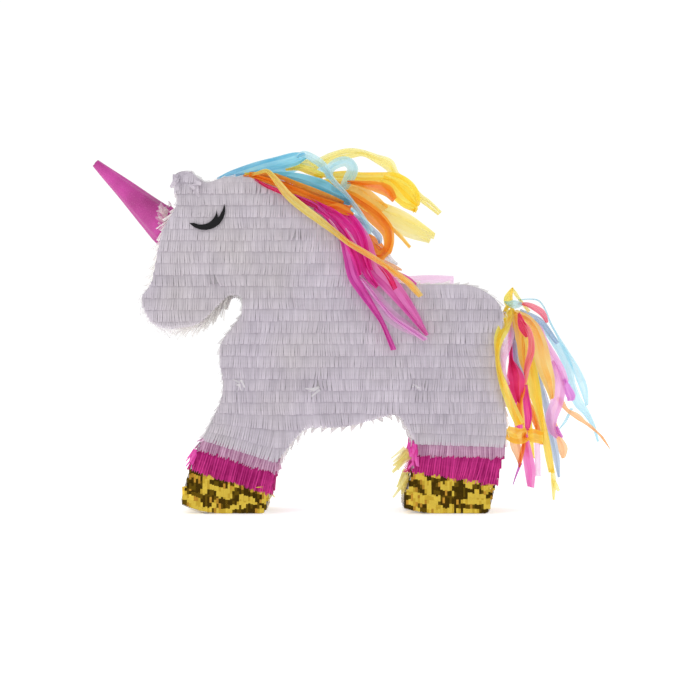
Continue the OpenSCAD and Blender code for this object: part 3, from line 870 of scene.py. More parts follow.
def tuft(name, side, seed, paper, place, way, count, length, width, spread, curl):
    """Fingers that were brushed loose at one spot: fewer of them on the far side."""
    rng = np.random.default_rng(seed)
    cuttings = Cuttings(name, paper, paper is not gold_foil)
    x, y, z = place
    for _ in range(count if side == NEAR else count // 2):
        down = unit(np.array([way[0], 0, way[1]]) + rng.normal(0, spread, 3))
        root = np.array([x, -side * y, z]) + rng.normal(0, 1.6, 3) * (1, 1.6, 1.2)
        across = unit(np.cross(down, side * Y))
        out = unit(np.cross(across, down))
        finger(cuttings, root * MM, down, out, across, length * rng.uniform(0.6, 1.05) * MM,
               curl * rng.normal(0.5, 0.6) * MM, drift=curl * rng.normal(0, 0.5) * MM,
               twist=rng.normal(0, 0.5), width=width * MM, taper=0.4,
               tone=0.6 + rng.normal(0, 0.22), curl=0.4 * MM * rng.normal())
    cuttings.build("root")


for k, look in enumerate(TUFTS):
    for side, word in SIDES:
        tuft(f"tuft_{k:02d}_{word}", side, 600 + 2 * k + (side == FAR), *look)


# ---------------------------------------------------------------- horn
CONE_LEAN = np.array([-1, 0, 0.9])      # roughly the way that the horn points
AROUND, ALONG = 72, 44                  # points round the cone, and steps along it
CONE_WALL = 0.9 * MM
CREASES = 3
COLLAR_LONG, COLLAR_SHORT = 34, 26      # fingers of forehead fringe round the horn's foot

cone = np.array([v.co for v in nodes["horn_cone"].data.vertices])
cone_reach = cone @ unit(CONE_LEAN)
cone_end = cone[cone_reach > cone_reach.max() - 2 * MM]
horn_tip = (cone_end.min(0) + cone_end.max(0)) / 2
horn_tip[1] = 0
foot = np.array(horn_foot)
horn_axis = unit(horn_tip - foot)
horn_up = unit(np.cross(horn_axis, Y))
horn_length = np.linalg.norm(horn_tip - foot)
base_r = (cone[:, 1].max() - cone[:, 1].min()) / 2
tip_r = np.linalg.norm(cone_end - horn_tip, axis=1).max()
_, brow_normal = chains["forehead"].at(chains["forehead"].length * 0.45)
brow_way = np.array([brow_normal[0], 0, brow_normal[1]])


def onto_brow(point):
    """The point, moved along the horn's axis onto the flat of the forehead."""
    return point - horn_axis * (np.dot(point - foot, brow_way) / np.dot(horn_axis, brow_way))


def cone_point(i, j, shell):
    """A point of the cone's skin: i of AROUND round it, j of ALONG up it, shell 1 inside."""
    t, a = j / ALONG, 2 * math.pi * i / AROUND
    out = Y * math.cos(a) + horn_up * math.sin(a)
    crease = abs(((i * CREASES / AROUND + 0.12 * ripple(t * 3, 7)) % 1) - 0.5)
    r = base_r * (1 - t) + tip_r * t
    r += MM * (0.7 * ripple(math.cos(a) * 1.6, math.sin(a) * 1.6, t * 2.2)
               - 1.1 * smooth(crease, 0.35, 0.5) * (1 - 0.6 * t)) - shell * CONE_WALL
    top = horn_length + 0.8 * MM * ripple(math.cos(a), math.sin(a), 9)
    p = foot + horn_axis * (top * t) + out * r
    if j == 0:
        p = onto_brow(p) + brow_way * 0.4 * MM
        p = p + horn_axis * 2.2 * MM * ripple(i * 0.9, 3) * (1 + math.cos(a - 3.6)) / 2
    return p


def horn():
    """The rolled paper cone, with long creases and an open cut tip."""
    verts = [cone_point(i, j, shell) for shell in (0, 1) for j in range(ALONG + 1)
             for i in range(AROUND)]
    faces, ring = [], AROUND * (ALONG + 1)
    following = [(i, (i + 1) % AROUND) for i in range(AROUND)]
    for shell in (0, 1):
        for low in range(shell * ring, shell * ring + AROUND * ALONG, AROUND):
            for i, k in following:
                quad = (low + i, low + k, low + AROUND + k, low + AROUND + i)
                faces.append(quad[::-1] if shell else quad)
    for low in (0, AROUND * ALONG):
        for i, k in following:
            quad = (low + i, low + k, ring + low + k, ring + low + i)
            faces.append(quad if low else quad[::-1])
    piece = new_object("horn_paper_cone", verts, faces, horn_paper)
    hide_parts("horn_cone")
    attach(piece, "root")


def horn_collar():
    """Fringe of the forehead that stands up round the horn's foot, longest at its two sides."""
    rng = np.random.default_rng(5)
    collar = Cuttings("horn_collar_fringe", fluff_tissue_painted_light)
    slope = (base_r - tip_r) / horn_length
    for i in range(COLLAR_LONG + COLLAR_SHORT):
        if i < COLLAR_LONG:
            a = (0 if i % 2 else math.pi) + rng.normal(-0.35, 0.25) * (1 if i % 2 else -1)
            reach, spread, lift = rng.uniform(6, 15) * MM, 2.6, rng.uniform(1, 4) * MM
        else:
            a, spread = 2 * math.pi * i / COLLAR_SHORT, 1.0
            reach, lift = rng.uniform(2, 5) * MM, rng.uniform(0.5, 1.2) * MM
        out = Y * math.cos(a) + horn_up * math.sin(a)
        way = unit(horn_axis - out * slope)
        finger(collar, onto_brow(foot + out * (base_r + 1.2 * MM)), way, out,
               unit(np.cross(out, way)), reach, lift, drift=rng.normal(0, spread) * MM,
               twist=rng.normal(0, 0.4), width=3.4 * MM, tone=0.8, curl=0.5 * MM)
    collar.build("root")


horn()
horn_collar()


# ---------------------------------------------------------------- streamers
FINE = 24               # points worked out between two knots


def spline(knots, spacing):
    """Even samples of a smooth curve through the knots, with the knots' extra columns, and the
    curve's length."""
    knots = np.array(knots, float)
    padded = np.vstack([2 * knots[0] - knots[1], knots, 2 * knots[-1] - knots[-2]])
    dense = []
    for a, b, c, d in zip(padded, padded[1:], padded[2:], padded[3:]):
        for t in np.linspace(0, 1, FINE, endpoint=False):
            dense.append(0.5 * (2 * b + (c - a) * t + (2 * a - 5 * b + 4 * c - d) * t ** 2
                                + (3 * b - a - 3 * c + d) * t ** 3))
    dense = np.array(dense + [knots[-1]])
    gaps = np.linalg.norm(np.diff(dense[:, :3], axis=0), axis=1)
    places = np.concatenate([[0], np.cumsum(gaps)])
    even = np.linspace(0, places[-1], max(8, int(places[-1] / spacing)))
    samples = [np.interp(even, places, column) for column in dense.T]
    return np.stack(samples, 1), places[-1]


SPACING = 2.2 * MM
FOLDS = (6, 6, 5)       # columns in each of the three lengthwise folds of a strip
COLUMNS = sum(FOLDS) - 2
# painted shade: the three folds of a strip get these lighter and darker tones, as if they caught
# the light differently
FOLD_PAINTED_SHADES = (-0.28, 0.0, 0.28)
# painted highlight: the edge columns of a strip are this much paler
RIM_PAINTED_HIGHLIGHT = 0.35
WANDER = 0.2            # how far the folds wander across the strip, as a share of its width
CRUMPLE, CREASE = 0.8, 0.5      # mm
SHARP = math.radians(26)


def ridge(a, b, c):
    """Creased noise, up to 1 along thin lines."""
    return 1 - 2 * abs(ripple(a, b, c))


def fold_of(column):
    """Which of the three folds a column of faces is in."""
    return 0 if column < FOLDS[0] - 1 else 1 if column < FOLDS[0] + FOLDS[1] - 2 else 2


def zigzag(first, second):
    """(places across the strip, depth at each) where it folds one way, back, and on again. Both
    run over a width of 1, and the creases are at first and second."""
    marks = (-0.5, first, second, 0.5)
    us = np.concatenate([np.linspace(a, b, n)[a > -0.5:]
                         for a, b, n in zip(marks, marks[1:], FOLDS)])
    rise = 0.5 + first
    fall = rise - (second - first)
    depth = np.interp(us, marks, (0, rise, fall, rise - second + first + 0.5 - second))
    return us, depth - depth.mean()


def streamer(name, colour, width, knots, body, replaced, seed):
    """A strip of creased tissue. Each knot is (x, y, z, fullness, roll) in mm, per cent and
    degrees: roll is 0 where it is left out and faces the near side, and fullness is the share of
    the cut width that shows there. What doesn't show is folded away in a zigzag along the strip."""
    rng = np.random.default_rng(seed)
    rows, length = spline([(x * MM, y * MM, z * MM, full / 100, math.radians(sum(roll)))
                           for x, y, z, full, *roll in knots], SPACING)
    last = len(rows) - 1
    drift, flip, cut = rng.uniform(0, 9, 2), rng.choice((-1, 1)), rng.uniform(-0.5, 0.5)
    painted_fold_shades = rng.permutation(FOLD_PAINTED_SHADES)
    verts, uvs = [], []
    for k, (row, tangent) in enumerate(zip(rows, np.gradient(rows[:, :3], axis=0))):
        t = unit(tangent)
        normal = t * t[1] - Y
        normal = unit(normal) if np.linalg.norm(normal) > 1e-3 else X
        binormal = np.cross(t, normal)
        full, roll = min(max(row[3], 0.1), 1), row[4]
        side_way = binormal * math.cos(roll) + normal * math.sin(roll)
        out = normal * math.cos(roll) - binormal * math.sin(roll)
        s = k / last
        us, depth = zigzag(-1 / 6 + WANDER * ripple(s * 2.5, drift[0]),
                           1 / 6 + WANDER * ripple(s * 2.5, drift[1]))
        for u, deep in zip(us, flip * width * MM * math.sqrt(1 - full * full) * depth):
            crumple = MM * (CRUMPLE * ripple(u * width * 0.08 + seed, s * length * 45, 2)
                            + CREASE * ridge(u * width * 0.12 + seed, s * length * 70, 4))
            p = row[:3] + side_way * (u * width * MM * full) + out * (deep + crumple)
            if k == last:
                p = p + t * (u * cut * width * MM * full)
            verts.append(p)
            uvs.append((u * width * MM, s * length))
    faces = strip_faces(len(rows), COLUMNS)
    piece = new_object(name, verts, faces, STREAMERS[colour])
    piece.data.set_sharp_from_angle(angle=SHARP)
    paint_uvs(piece, uvs)
    # painted shade and highlight: a tone for each fold and a paler rim at the edges, plus a slow
    # random change along the strip
    tones = []
    for corner, *_ in faces:
        k, c = divmod(corner, COLUMNS)
        rim = RIM_PAINTED_HIGHLIGHT if c in (0, COLUMNS - 2) else 0.0
        tones.append(0.5 + painted_fold_shades[fold_of(c)] + rim + 0.4 * ripple(k * 0.09, fold_of(c) * 7, seed))
    paint_tones(piece, tones)
    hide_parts(replaced)
    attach(piece, body)


# Mane, near side: colour, width and knots, from the crest outwards, placed as they look square
# on at the near face.
MANE = [
    ("blue", 16, (-147, -34, 368, 20), (-131, -33, 373, 60), (-107, -29, 379, 90),
     (-82, -25, 385, 95), (-62, -23, 390, 95), (-50, -22, 394, 45)),
    ("pale_blue", 10, (-60, -24, 392, 30), (-52, -26, 396, 60), (-42, -28, 391, 90),
     (-31, -31, 383, 90), (-20, -42, 367, 60), (-6, -46, 352, 50), (7, -47, 335, 50),
     (15, -48, 322, 60), (22, -48, 309, 80)),
    ("deep_blue", 26, (-120, -30, 372, 12), (-100, -32, 373, 20), (-82, -34, 371, 45),
     (-65, -36, 367, 70), (-48, -38, 361, 90), (-32, -40, 355, 95), (-15, -42, 347, 65),
     (0, -43, 341, 25)),
    ("yellow", 12, (-72, -16, 379, 30), (-58, -17, 381, 60), (-45, -18, 377, 70),
     (-30, -18, 371, 60)),
    ("pale_yellow", 10, (-60, -14, 385, 30), (-47, -15, 386, 80), (-36, -16, 380, 50)),
    ("pale_blue", 13, (-24, -18, 368, 60), (-23, -19, 379, 80), (-14, -20, 386, 90),
     (-4, -22, 387, 90), (2, -23, 379, 95), (-2, -24, 369, 95), (-9, -26, 357, 70)),
    ("pale_yellow", 10, (-45, 0, 383, 40), (-33, 0, 389, 60), (-20, 0, 395, 60),
     (-3, -2, 399, 60), (12, -3, 398, 50), (29, -4, 392, 60), (43, -5, 386, 80),
     (50, -7, 373, 70), (62, -8, 365, 60), (76, -9, 350, 50), (86, -10, 343, 40),
     (99, -10, 331, 30)),
    ("yellow", 14, (-40, -8, 372, 30), (-6, -10, 373, 60), (11, -12, 371, 65), (32, -13, 371, 65),
     (49, -15, 369, 85), (63, -16, 361, 85), (71, -17, 350, 70), (74, -18, 338, 30)),
    ("yellow", 17, (34, -14, 368, 60), (43, -16, 362, 80), (50, -18, 354, 95), (60, -19, 345, 90),
     (72, -20, 338, 40)),
    ("amber", 17, (-22, -16, 364, 30), (-6, -18, 360, 60), (8, -20, 355, 90), (22, -22, 345, 95),
     (37, -23, 334, 70)),
    ("pale_yellow", 21, (20, -14, 343, 40), (36, -16, 334, 70), (52, -18, 325, 95),
     (70, -19, 315, 85), (92, -20, 305, 30)),
    ("orange", 14, (-4, -26, 365, 30), (10, -27, 363, 50), (26, -28, 360, 85), (40, -29, 355, 95),
     (48, -30, 345, 50)),
    ("orange", 10, (-118, -42, 371, 30), (-104, -48, 370, 50), (-88, -50, 365, 60),
     (-72, -50, 359, 70), (-56, -51, 353, 80), (-40, -51, 346, 80), (-20, -52, 340, 70),
     (0, -52, 336, 40)),
    ("orange", 14, (-112, -44, 373, 40), (-86, -46, 369, 80), (-60, -47, 359, 90),
     (-30, -48, 348, 80), (-8, -48, 340, 50)),
    ("orange", 10, (-26, -54, 338, 20), (-15, -55, 337, 90), (-4, -55, 332, 80),
     (3, -55, 329, 20)),
    ("crimson", 10, (-106, -46, 368, 20), (-94, -50, 361, 40), (-75, -51, 353, 50),
     (-56, -51, 345, 50), (-36, -52, 337, 50)),
    ("orange", 12, (-20, -34, 356, 30), (-3, -36, 352, 60), (12, -38, 343, 80),
     (27, -40, 331, 90), (37, -41, 320, 90), (42, -42, 311, 85), (42, -43, 296, 85),
     (37, -44, 287, 80), (29, -45, 284, 80, 30), (21, -46, 294, 80, 20), (17, -47, 304, 60)),
    ("orange", 14, (16, -40, 306, 50), (22, -41, 300, 90), (29, -42, 294, 90), (36, -42, 287, 60)),
    # partly painted shade: the upper part of this grey-blue strip stands for a shadow under the
    # pale blue strip, and its lower end is a grey-blue strip end
    ("grey_blue", 10, (0, -44, 330, 30), (12, -44, 322, 60), (24, -44, 312, 60),
     (31, -45, 304, 70), (32, -45, 297, 30)),
    ("mustard", 11, (-122, -30, 369, 20), (-112, -42, 371, 25), (-104, -50, 374, 30),
     (-93, -53, 377, 40), (-86, -54, 371, 50, 20), (-78, -54, 361, 70), (-69, -54, 350, 80),
     (-55, -55, 338, 85), (-35, -57, 323, 75), (-18, -59, 310, 60), (-3, -62, 298, 50)),
    ("amber", 10, (-12, -62, 305, 40), (-3, -63, 298, 60), (19, -64, 285, 65), (41, -64, 271, 60),
     (61, -64, 256, 70), (70, -63, 247, 75), (77, -63, 239, 60)),
    ("fuchsia", 14, (-62, -50, 350, 30), (-40, -52, 340, 45), (-22, -53, 323, 60),
     (-8, -54, 304, 80), (-3, -54, 284, 80), (2, -54, 262, 85), (12, -54, 245, 75),
     (24, -54, 227, 55), (34, -54, 211, 40), (41, -54, 195, 40), (47, -53, 180, 45)),
    ("magenta", 14, (-50, -48, 348, 30), (-34, -50, 338, 50), (-20, -53, 330, 70),
     (-6, -55, 317, 85), (3, -56, 303, 90), (9, -56, 288, 80), (13, -56, 277, 70),
     (19, -55, 262, 60), (29, -55, 249, 30)),
    ("magenta", 12, (-40, -50, 336, 40), (-24, -54, 326, 50), (-10, -56, 309, 60),
     (-2, -57, 295, 60), (5, -57, 279, 60), (10, -56, 262, 40)),
    ("magenta", 12, (-20, -50, 336, 40), (-2, -53, 328, 60), (8, -56, 315, 70),
     (14, -57, 300, 70), (17, -57, 284, 60), (22, -56, 268, 40)),
    ("pink", 20, (-20, -46, 334, 30), (-1, -49, 326, 45), (10, -51, 311, 60), (16, -52, 297, 75),
     (20, -53, 281, 85), (29, -53, 266, 95), (41, -53, 254, 95), (53, -53, 240, 85),
     (68, -53, 220, 60), (84, -53, 196, 20)),
    ("orchid", 10, (12, -56, 258, 30), (19, -57, 249, 40), (32, -57, 232, 40), (47, -57, 215, 45),
     (66, -57, 202, 55), (82, -56, 191, 50)),
    ("pale_pink", 16, (4, -50, 268, 40), (12, -50, 257, 70), (27, -50, 237, 90),
     (41, -50, 220, 95), (58, -50, 207, 80), (77, -50, 196, 40)),
    ("crimson", 10, (30, -52, 275, 40), (41, -54, 262, 60), (49, -54, 247, 60)),
    ("pink", 10, (36, -44, 276, 40), (49, -46, 266, 40), (63, -46, 259, 35), (72, -46, 252, 25)),
    ("magenta", 10, (40, -47, 270, 30), (56, -48, 258, 30), (71, -48, 248, 25)),
    ("peach", 10, (28, -40, 284, 40), (38, -41, 276, 50), (48, -42, 271, 50), (56, -42, 268, 15)),
    ("white", 10, (26, -38, 296, 40), (37, -40, 286, 70), (44, -41, 278, 70), (51, -41, 274, 30)),
    # painted highlight: these two thin pale pink strips stand for highlights on the magenta strands
    ("pale_pink", 10, (-6, -60, 314, 15), (0, -60, 306, 25), (7, -60, 294, 20)),
    ("pale_pink", 10, (-24, -58, 324, 15), (-20, -59, 319, 25), (-14, -59, 311, 15)),
    ("amber", 10, (26, -34, 333, 30, 60), (41, -35, 318, 30, 70), (53, -36, 306, 30, 70),
     (65, -36, 293, 30, 70)),
]
FAR_MANE = (0, 1, 2, 6, 7, 8, 9, 10, 13, 16, 19, 20, 21, 22, 25, 26, 27)    # these have a twin
# Strips that lie along the crest wall: colour, width, y, and where they start and end along it.
CREST = [("magenta", 16, -22, 0.95, 0.22), ("orange", 15, -8, 0.98, 0.34),
         ("blue", 18, 8, 0.97, 0.42), ("pink", 14, 20, 0.93, 0.16), ("yellow", 14, 0, 0.90, 0.52),
         ("gold", 12, -32, 0.88, 0.38), ("crimson", 14, 32, 0.96, 0.30),
         ("pale_blue", 12, -15, 0.86, 0.60), ("amber", 13, 26, 0.84, 0.48)]
BEHIND_BACK = ("pale_pink", 20, (20, 50, 256, 60), (48, 51, 253, 80), (66, 51, 253, 90),
               (88, 51, 254, 90), (113, 51, 254, 80))


def mirrored(knots, rng):
    """The knots for the far side: mirrored in Y, and moved a little so that they differ."""
    slide = rng.normal(0, 1.6, 3)
    return [(x + slide[0] + rng.normal(0, 1.2), slide[1] * 0.4 - y,
             z + slide[2] + rng.normal(0, 1.2), full, -sum(roll)) for x, y, z, full, *roll in knots]


def as_seen(knots):
    """Moves knots that were set square on at the near face, to look the same from the camera at
    their own depth."""
    seen = []
    for x, y, z, *rest in knots:
        spread = 1 + (y * MM - NEAR_FACE) / (CAMERA_DISTANCE + NEAR_FACE)
        level = CAMERA_HEIGHT / MM
        seen.append((x * spread, y, level + (z - level) * spread, *rest))
    return seen


def mane_streamer(name, colour, width, knots, seed, node=None):
    streamer(f"mane_streamer_{name}", colour, width, knots, "root", node or PAPERS[colour][0],
             seed)


def mane():
    """The near side, its twins on the far side, the strips on the crest and one behind the back."""
    rng = np.random.default_rng(300)
    for k, (colour, width, *knots) in enumerate(MANE):
        mane_streamer(f"{k:02d}", colour, width, as_seen(knots), 310 + k)
    for k in FAR_MANE:
        colour, width, *knots = MANE[k]
        mane_streamer(f"far_{k:02d}", colour, width, mirrored(knots, rng), 350 + k)
    crest = chains["crest"]
    for k, (colour, width, y, first, last) in enumerate(CREST):
        knots = []
        for share in np.linspace(first, last, 6):
            (x, z), normal = crest.at(crest.length * share)
            away = 1.8 + 0.35 * k + 0.8 * rng.random()
            knots.append((x / MM + normal[0] * away, y + rng.normal(0, 2.5),
                          z / MM + normal[1] * away, 100 * rng.uniform(0.6, 0.95), 90))
        mane_streamer(f"crest_{k}", colour, width, knots, 450 + k)
    colour, width, *knots = BEHIND_BACK
    mane_streamer("behind", colour, width, as_seen(knots), 399, "mane_pink")


mane()

# Tail, from the fold over the cord loop outwards, as in MANE.
TAIL = [
    ("yellow", 14, (175, -6, 225, 40), (174, -24, 216, 70), (168, -44, 204, 95),
     (163, -53, 193, 80), (161, -55, 176, 40), (163, -55, 158, 45), (168, -54, 141, 65),
     (176, -50, 120, 75), (186, -46, 98, 80)),
    ("pale_pink", 12, (176, -8, 212, 40), (176, -36, 198, 70), (171, -50, 184, 90),
     (168, -54, 168, 50), (169, -53, 154, 40), (174, -50, 142, 30)),
    # painted shade: this inner strip is coloured a dark grey-blue for the shade it lies in
    ("grey_blue", 10, (177, -10, 205, 40), (180, -30, 186, 50), (182, -40, 168, 60),
     (187, -41, 155, 60), (190, -41, 148, 30)),
    ("crimson", 22, (177, -12, 196, 10), (176, -38, 174, 10), (178, -44, 162, 50),
     (181, -45, 149, 90), (183, -44, 136, 75), (184, -42, 122, 30)),
    ("orange", 10, (188, -36, 150, 40), (189, -41, 136, 50), (186, -42, 124, 50, 10),
     (185, -41, 112, 60), (188, -40, 98, 50)),
    ("amber", 12, (180, -10, 218, 40), (185, -22, 200, 85), (186, -28, 184, 80),
     (188, -31, 167, 60), (191, -33, 147, 20)),
    ("crimson", 11, (184, -14, 220, 20), (187, -26, 211, 70), (190, -30, 203, 80),
     (193, -30, 194, 20)),
    ("coral", 10, (188, -24, 212, 30), (194, -32, 204, 60), (198, -35, 193, 70, 20),
     (198, -36, 178, 70, 20), (194, -37, 162, 60, 10), (191, -37, 143, 40)),
    ("magenta", 10, (192, -36, 142, 50), (193, -38, 124, 80), (195, -38, 106, 85),
     (194, -38, 92, 50)),
    ("pink", 14, (191, -38, 92, 40), (192, -38, 80, 60), (194, -37, 66, 80), (197, -36, 48, 90),
     (198, -35, 29, 60)),
    ("pale_pink", 10, (203, -34, 92, 50), (205, -34, 74, 70), (206, -33, 41, 60)),
    ("amber", 19, (180, -4, 222, 40), (195, -12, 214, 50), (202, -16, 202, 80),
     (208, -18, 183, 95), (212, -20, 164, 95), (217, -20, 148, 80), (220, -20, 134, 50),
     (221, -20, 126, 30)),
    ("yellow", 15, (184, -4, 214, 30), (194, -22, 190, 50), (197, -28, 169, 75),
     (200, -30, 150, 90), (203, -31, 131, 90), (208, -31, 110, 60), (213, -30, 89, 55),
     (217, -28, 67, 60), (221, -26, 45, 50)),
    ("pale_yellow", 10, (221, -25, 50, 40), (223, -24, 36, 65), (223, -23, 15, 30)),
    ("pale_yellow", 10, (222, -24, 38, 30), (226, -24, 29, 60, 20), (229, -24, 25, 30, 30)),
    ("orange", 10, (193, -30, 136, 30), (198, -34, 116, 50), (201, -35, 105, 60),
     (205, -34, 92, 40)),
    ("gold", 18, (194, -40, 88, 80), (186, -42, 85, 95), (178, -43, 87, 95), (170, -43, 91, 70)),
    ("gold", 16, (192, -36, 88, 80), (200, -37, 86, 95), (211, -36, 83, 80)),
    ("peach", 13, (178, -38, 88, 60), (181, -38, 75, 90), (184, -38, 64, 60), (186, -37, 53, 20)),
    ("orange", 10, (191, -40, 90, 40), (190, -40, 76, 50), (187, -39, 62, 50), (185, -38, 51, 30)),
    ("violet", 10, (187, -38, 56, 40), (183, -38, 46, 30), (178, -38, 31, 10)),
    ("pale_blue", 10, (169, -6, 233, 20), (172, -7, 232, 35), (176, -9, 231, 80),
     (181, -10, 230, 95), (188, -8, 231, 50)),
    ("pale_blue", 10, (184, -2, 235, 15), (197, 2, 236, 15), (207, 4, 234, 20), (214, 7, 224, 20),
     (219, 9, 211, 25), (227, 12, 196, 30), (237, 15, 178, 60), (248, 17, 158, 85),
     (256, 18, 138, 95), (260, 19, 119, 40)),
    ("pale_blue", 12, (200, 4, 214, 40), (211, 7, 207, 50), (221, 10, 193, 70),
     (232, 14, 178, 95), (239, 17, 161, 90), (243, 19, 143, 70), (249, 21, 124, 95),
     (258, 22, 112, 70), (267, 23, 96, 40), (272, 24, 79, 25)),
    ("coral", 10, (184, -4, 231, 20), (194, -6, 230, 50), (203, -6, 226, 70), (211, -6, 220, 70),
     (216, -6, 210, 30)),
    ("grey_blue", 10, (186, 0, 224, 30), (202, -2, 216, 60), (211, -2, 209, 70),
     (219, -2, 198, 70), (227, -1, 187, 50)),
    ("orchid", 11, (188, -4, 218, 30), (206, -8, 205, 60), (212, -9, 190, 80),
     (222, -10, 173, 85), (231, -10, 158, 80), (236, -10, 143, 80)),
    ("violet", 11, (234, -10, 148, 40), (238, -11, 138, 80), (242, -11, 129, 95),
     (241, -11, 124, 50)),
    ("orchid", 16, (222, -12, 168, 30), (227, -13, 152, 70), (229, -14, 137, 90),
     (226, -14, 121, 95), (221, -14, 107, 90), (221, -14, 93, 60), (227, -14, 84, 30)),
    ("grey_blue", 10, (196, 0, 190, 40), (207, -6, 147, 60), (212, -8, 130, 80),
     (216, -8, 114, 80), (218, -8, 98, 80), (222, -8, 81, 85), (226, -8, 61, 80),
     (229, -8, 40, 40)),
    ("peach", 12, (224, -2, 100, 40), (229, -3, 83, 60), (233, -4, 72, 95), (234, -4, 61, 40)),
    ("peach", 10, (227, -6, 128, 40), (232, -6, 122, 70), (238, -6, 114, 50, 20),
     (249, -6, 107, 70), (258, -6, 100, 60, 20), (266, -6, 94, 40), (276, -7, 84, 30, 30),
     (285, -7, 71, 10)),
    ("pale_blue", 10, (243, 14, 116, 40), (236, 10, 102, 35), (229, 8, 93, 20)),
    ("violet", 10, (226, -10, 96, 30), (229, -10, 88, 50), (233, -10, 84, 20)),
    ("yellow", 12, (175, -3, 227, 60), (173, -4, 235, 90), (175, -4, 242, 60), (178, -4, 249, 10)),
    ("pale_yellow", 10, (178, -2, 248, 15), (181, -2, 242, 40), (186, -2, 235, 30),
     (196, -4, 222, 40)),
    ("yellow", 14, (177, 4, 224, 40), (184, 16, 206, 60), (188, 26, 176, 80), (190, 33, 140, 90),
     (194, 38, 100, 80), (198, 40, 62, 60)),
    ("magenta", 16, (176, 5, 218, 40), (178, 22, 196, 60), (180, 36, 164, 80), (182, 42, 126, 90),
     (186, 44, 90, 60)),
    ("orange", 14, (178, 4, 216, 40), (188, 18, 188, 60), (200, 28, 150, 70), (206, 34, 110, 80),
     (210, 36, 76, 50)),
]


def tail():
    """The streamers, and the three strips that fold over the cord loop."""
    for k, (colour, width, *knots) in enumerate(TAIL):
        streamer(f"tail_streamer_{k:02d}", colour, width, as_seen(knots), "tail", "tail_bundles",
                 410 + k)
    for k, (colour, y) in enumerate((("yellow", -2.4), ("amber", 0), ("pale_yellow", 2.4))):
        arch = ((175 + k * 0.4, 202), (173.5, 212), (172.5, 222), (178, 229 + 0.6 * k),
                (183.5, 222), (182.5, 212), (181 - k * 0.4, 202))
        streamer(f"tail_fold_{k}", colour, 10, [(x, y, z, 80, 90) for x, z in arch], "tail",
                 "tail_head", 450 + k)


tail()


def wound_tie():
    """The strip of tissue wound round the neck of the tail."""
    low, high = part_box("tail_tie")
    centre = (low + high) / 2
    radius = (high.x - low.x) / 2 - 0.95 * MM
    around, across, turns = 48, 6, 3
    rings = around * turns
    verts = []
    for k in range(rings + 1):
        a = 2 * math.pi * k / around
        rise = (k / rings - 0.5) * (high.z - low.z) * 0.6
        for c in range(across + 1):
            v = c / across - 0.5
            wrinkle = 0.35 * MM * ripple(a * 2.2, v * 3, turns)
            r = radius + 0.25 * MM * k / around + (0.25 - v * v) * 1.4 * MM + wrinkle
            verts.append((centre.x + r * math.cos(a), centre.y + r * math.sin(a),
                          centre.z + rise + v * 3.4 * MM))
    faces = [quad[::-1] for quad in strip_faces(rings + 1, across + 1)]
    piece = new_object("tail_tie_strip", verts, faces, STREAMERS["yellow"])
    paint_tones(piece, [0.5] * len(faces))
    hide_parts("tail_tie")
    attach(piece, "tail")


wound_tie()


def binding():
    """The crumpled strip along the crest that holds the mane."""
    chain = chains["crest"]
    low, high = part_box("mane_binding")
    start, end = 14 * MM, chain.length - 30 * MM
    count, across = 70, 9
    verts = []
    for k in range(count + 1):
        point, normal = chain.at(start + (end - start) * k / count)
        for c in range(across + 1):
            v = c / across
            y = low.y + (high.y - low.y) * v + 0.8 * MM * ripple(k * 0.3, c * 0.5, 1)
            off = MM * (3.6 + 1.2 * math.sin(math.pi * v) + 0.7 * ripple(k * 0.5, c * 0.6, 2))
            verts.append((point[0] + normal[0] * off, y, point[1] + normal[1] * off))
    faces = strip_faces(count + 1, across + 1)
    piece = new_object("mane_binding_strip", verts, faces, edge_tissue_painted_light)
    paint_tones(piece, [0.7] * len(faces))
    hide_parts("mane_binding")
    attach(piece, "root")


binding()


# ---------------------------------------------------------------- CAD nodes that stay
DRESS = {"side_panel": painted_shade_board, "wall_": white_board, "sole_": white_board,
         "fill_flap": white_board, "glue_": kraft_board, "hanger": kraft_board,
         "flap_ledges": kraft_board, "tail_toggle": kraft_board, "eyelash": black_card,
         "horn_base_ring": horn_paper, "tail_loop": cotton_cord}
for node in nodes:
    for start, material in DRESS.items():
        if node.startswith(start):
            nodes[node].data.materials.clear()
            nodes[node].data.materials.append(material)


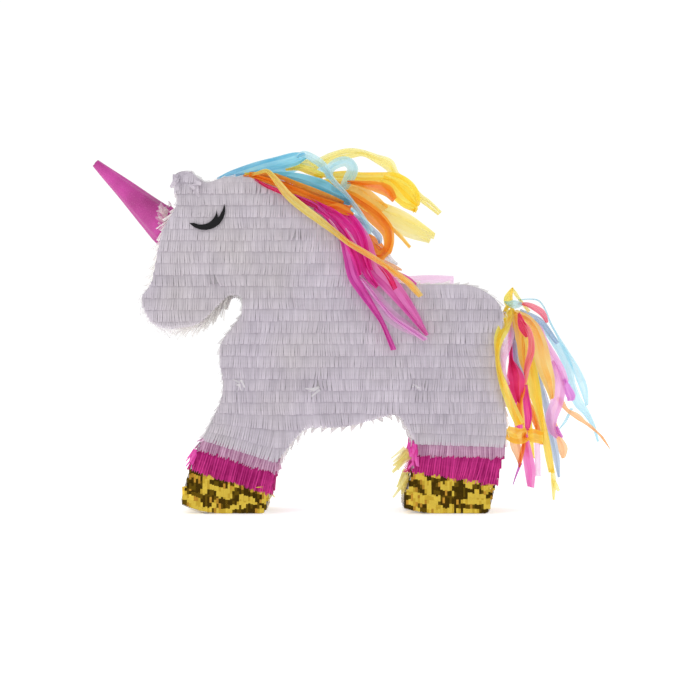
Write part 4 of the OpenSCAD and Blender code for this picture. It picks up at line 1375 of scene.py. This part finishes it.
# ---------------------------------------------------------------- floor, light and camera
def stage_floor():
    """A plain white floor, bright enough to run into the white background."""
    n = Nodes("pale_floor")
    colour = n.mix(n.noise(9, 2.0), rgba((0.90, 0.90, 0.90)), rgba((0.87, 0.87, 0.87)))
    paint = n.paper(Base_Color=colour, Roughness=0.9, Emission_Color=rgba((1, 1, 1)),
                    Emission_Strength=0.45)
    size, z = 8.0, -0.3 * MM
    corners = [(-size, -size, z), (size, -size, z), (size, size, z), (-size, size, z)]
    new_object("floor", corners, [(0, 1, 2, 3)], n.finish(paint))


SKY = {"From Min": -0.7, "From Max": 0.5, "To Min": 0.74, "To Max": 1.05}    # depth, strength


def studio_world():
    """A white studio: brightest behind the object, dimmer in front of it."""
    world = bpy.data.worlds.new("studio")
    world.use_nodes = True
    tree = world.node_tree
    background = tree.nodes["Background"]
    way = tree.nodes.new("ShaderNodeTexCoord")
    split = tree.nodes.new("ShaderNodeSeparateXYZ")
    depth = tree.nodes.new("ShaderNodeMapRange")
    for socket, value in SKY.items():
        depth.inputs[socket].default_value = value
    tree.links.new(way.outputs["Generated"], split.inputs[0])
    tree.links.new(split.outputs["Y"], depth.inputs["Value"])
    tree.links.new(depth.outputs[0], background.inputs["Strength"])
    background.inputs["Color"].default_value = (1, 1, 1, 1)
    bpy.context.scene.world = world


def softbox(name, place, aim, size, watts):
    data = bpy.data.lights.new(name, "AREA")
    data.shape, data.size, data.size_y, data.energy = "RECTANGLE", size, size, watts
    lamp = bpy.data.objects.new(name, data)
    lamp.location = place
    lamp.rotation_euler = (Vector(aim) - Vector(place)).to_track_quat("-Z", "Y").to_euler()
    bpy.context.scene.collection.objects.link(lamp)


def studio_camera():
    """Square on to the near side, level with the middle of the body."""
    data = bpy.data.cameras.new("camera")
    camera = bpy.data.objects.new("camera", data)
    data.sensor_width = 36.0
    data.lens = data.sensor_width * (CAMERA_DISTANCE + NEAR_FACE) / VIEW_WIDTH
    camera.location = (-1 * MM, -CAMERA_DISTANCE, CAMERA_HEIGHT)
    camera.rotation_euler = (math.radians(90), 0, 0)
    bpy.context.scene.collection.objects.link(camera)
    bpy.context.scene.camera = camera


stage_floor()
studio_world()
softbox("key", place=(-1.2, -1.5, 1.6), aim=(0, 0, 0.2), size=0.8, watts=7)
studio_camera()
bpy.context.scene.view_settings.view_transform = "Standard"
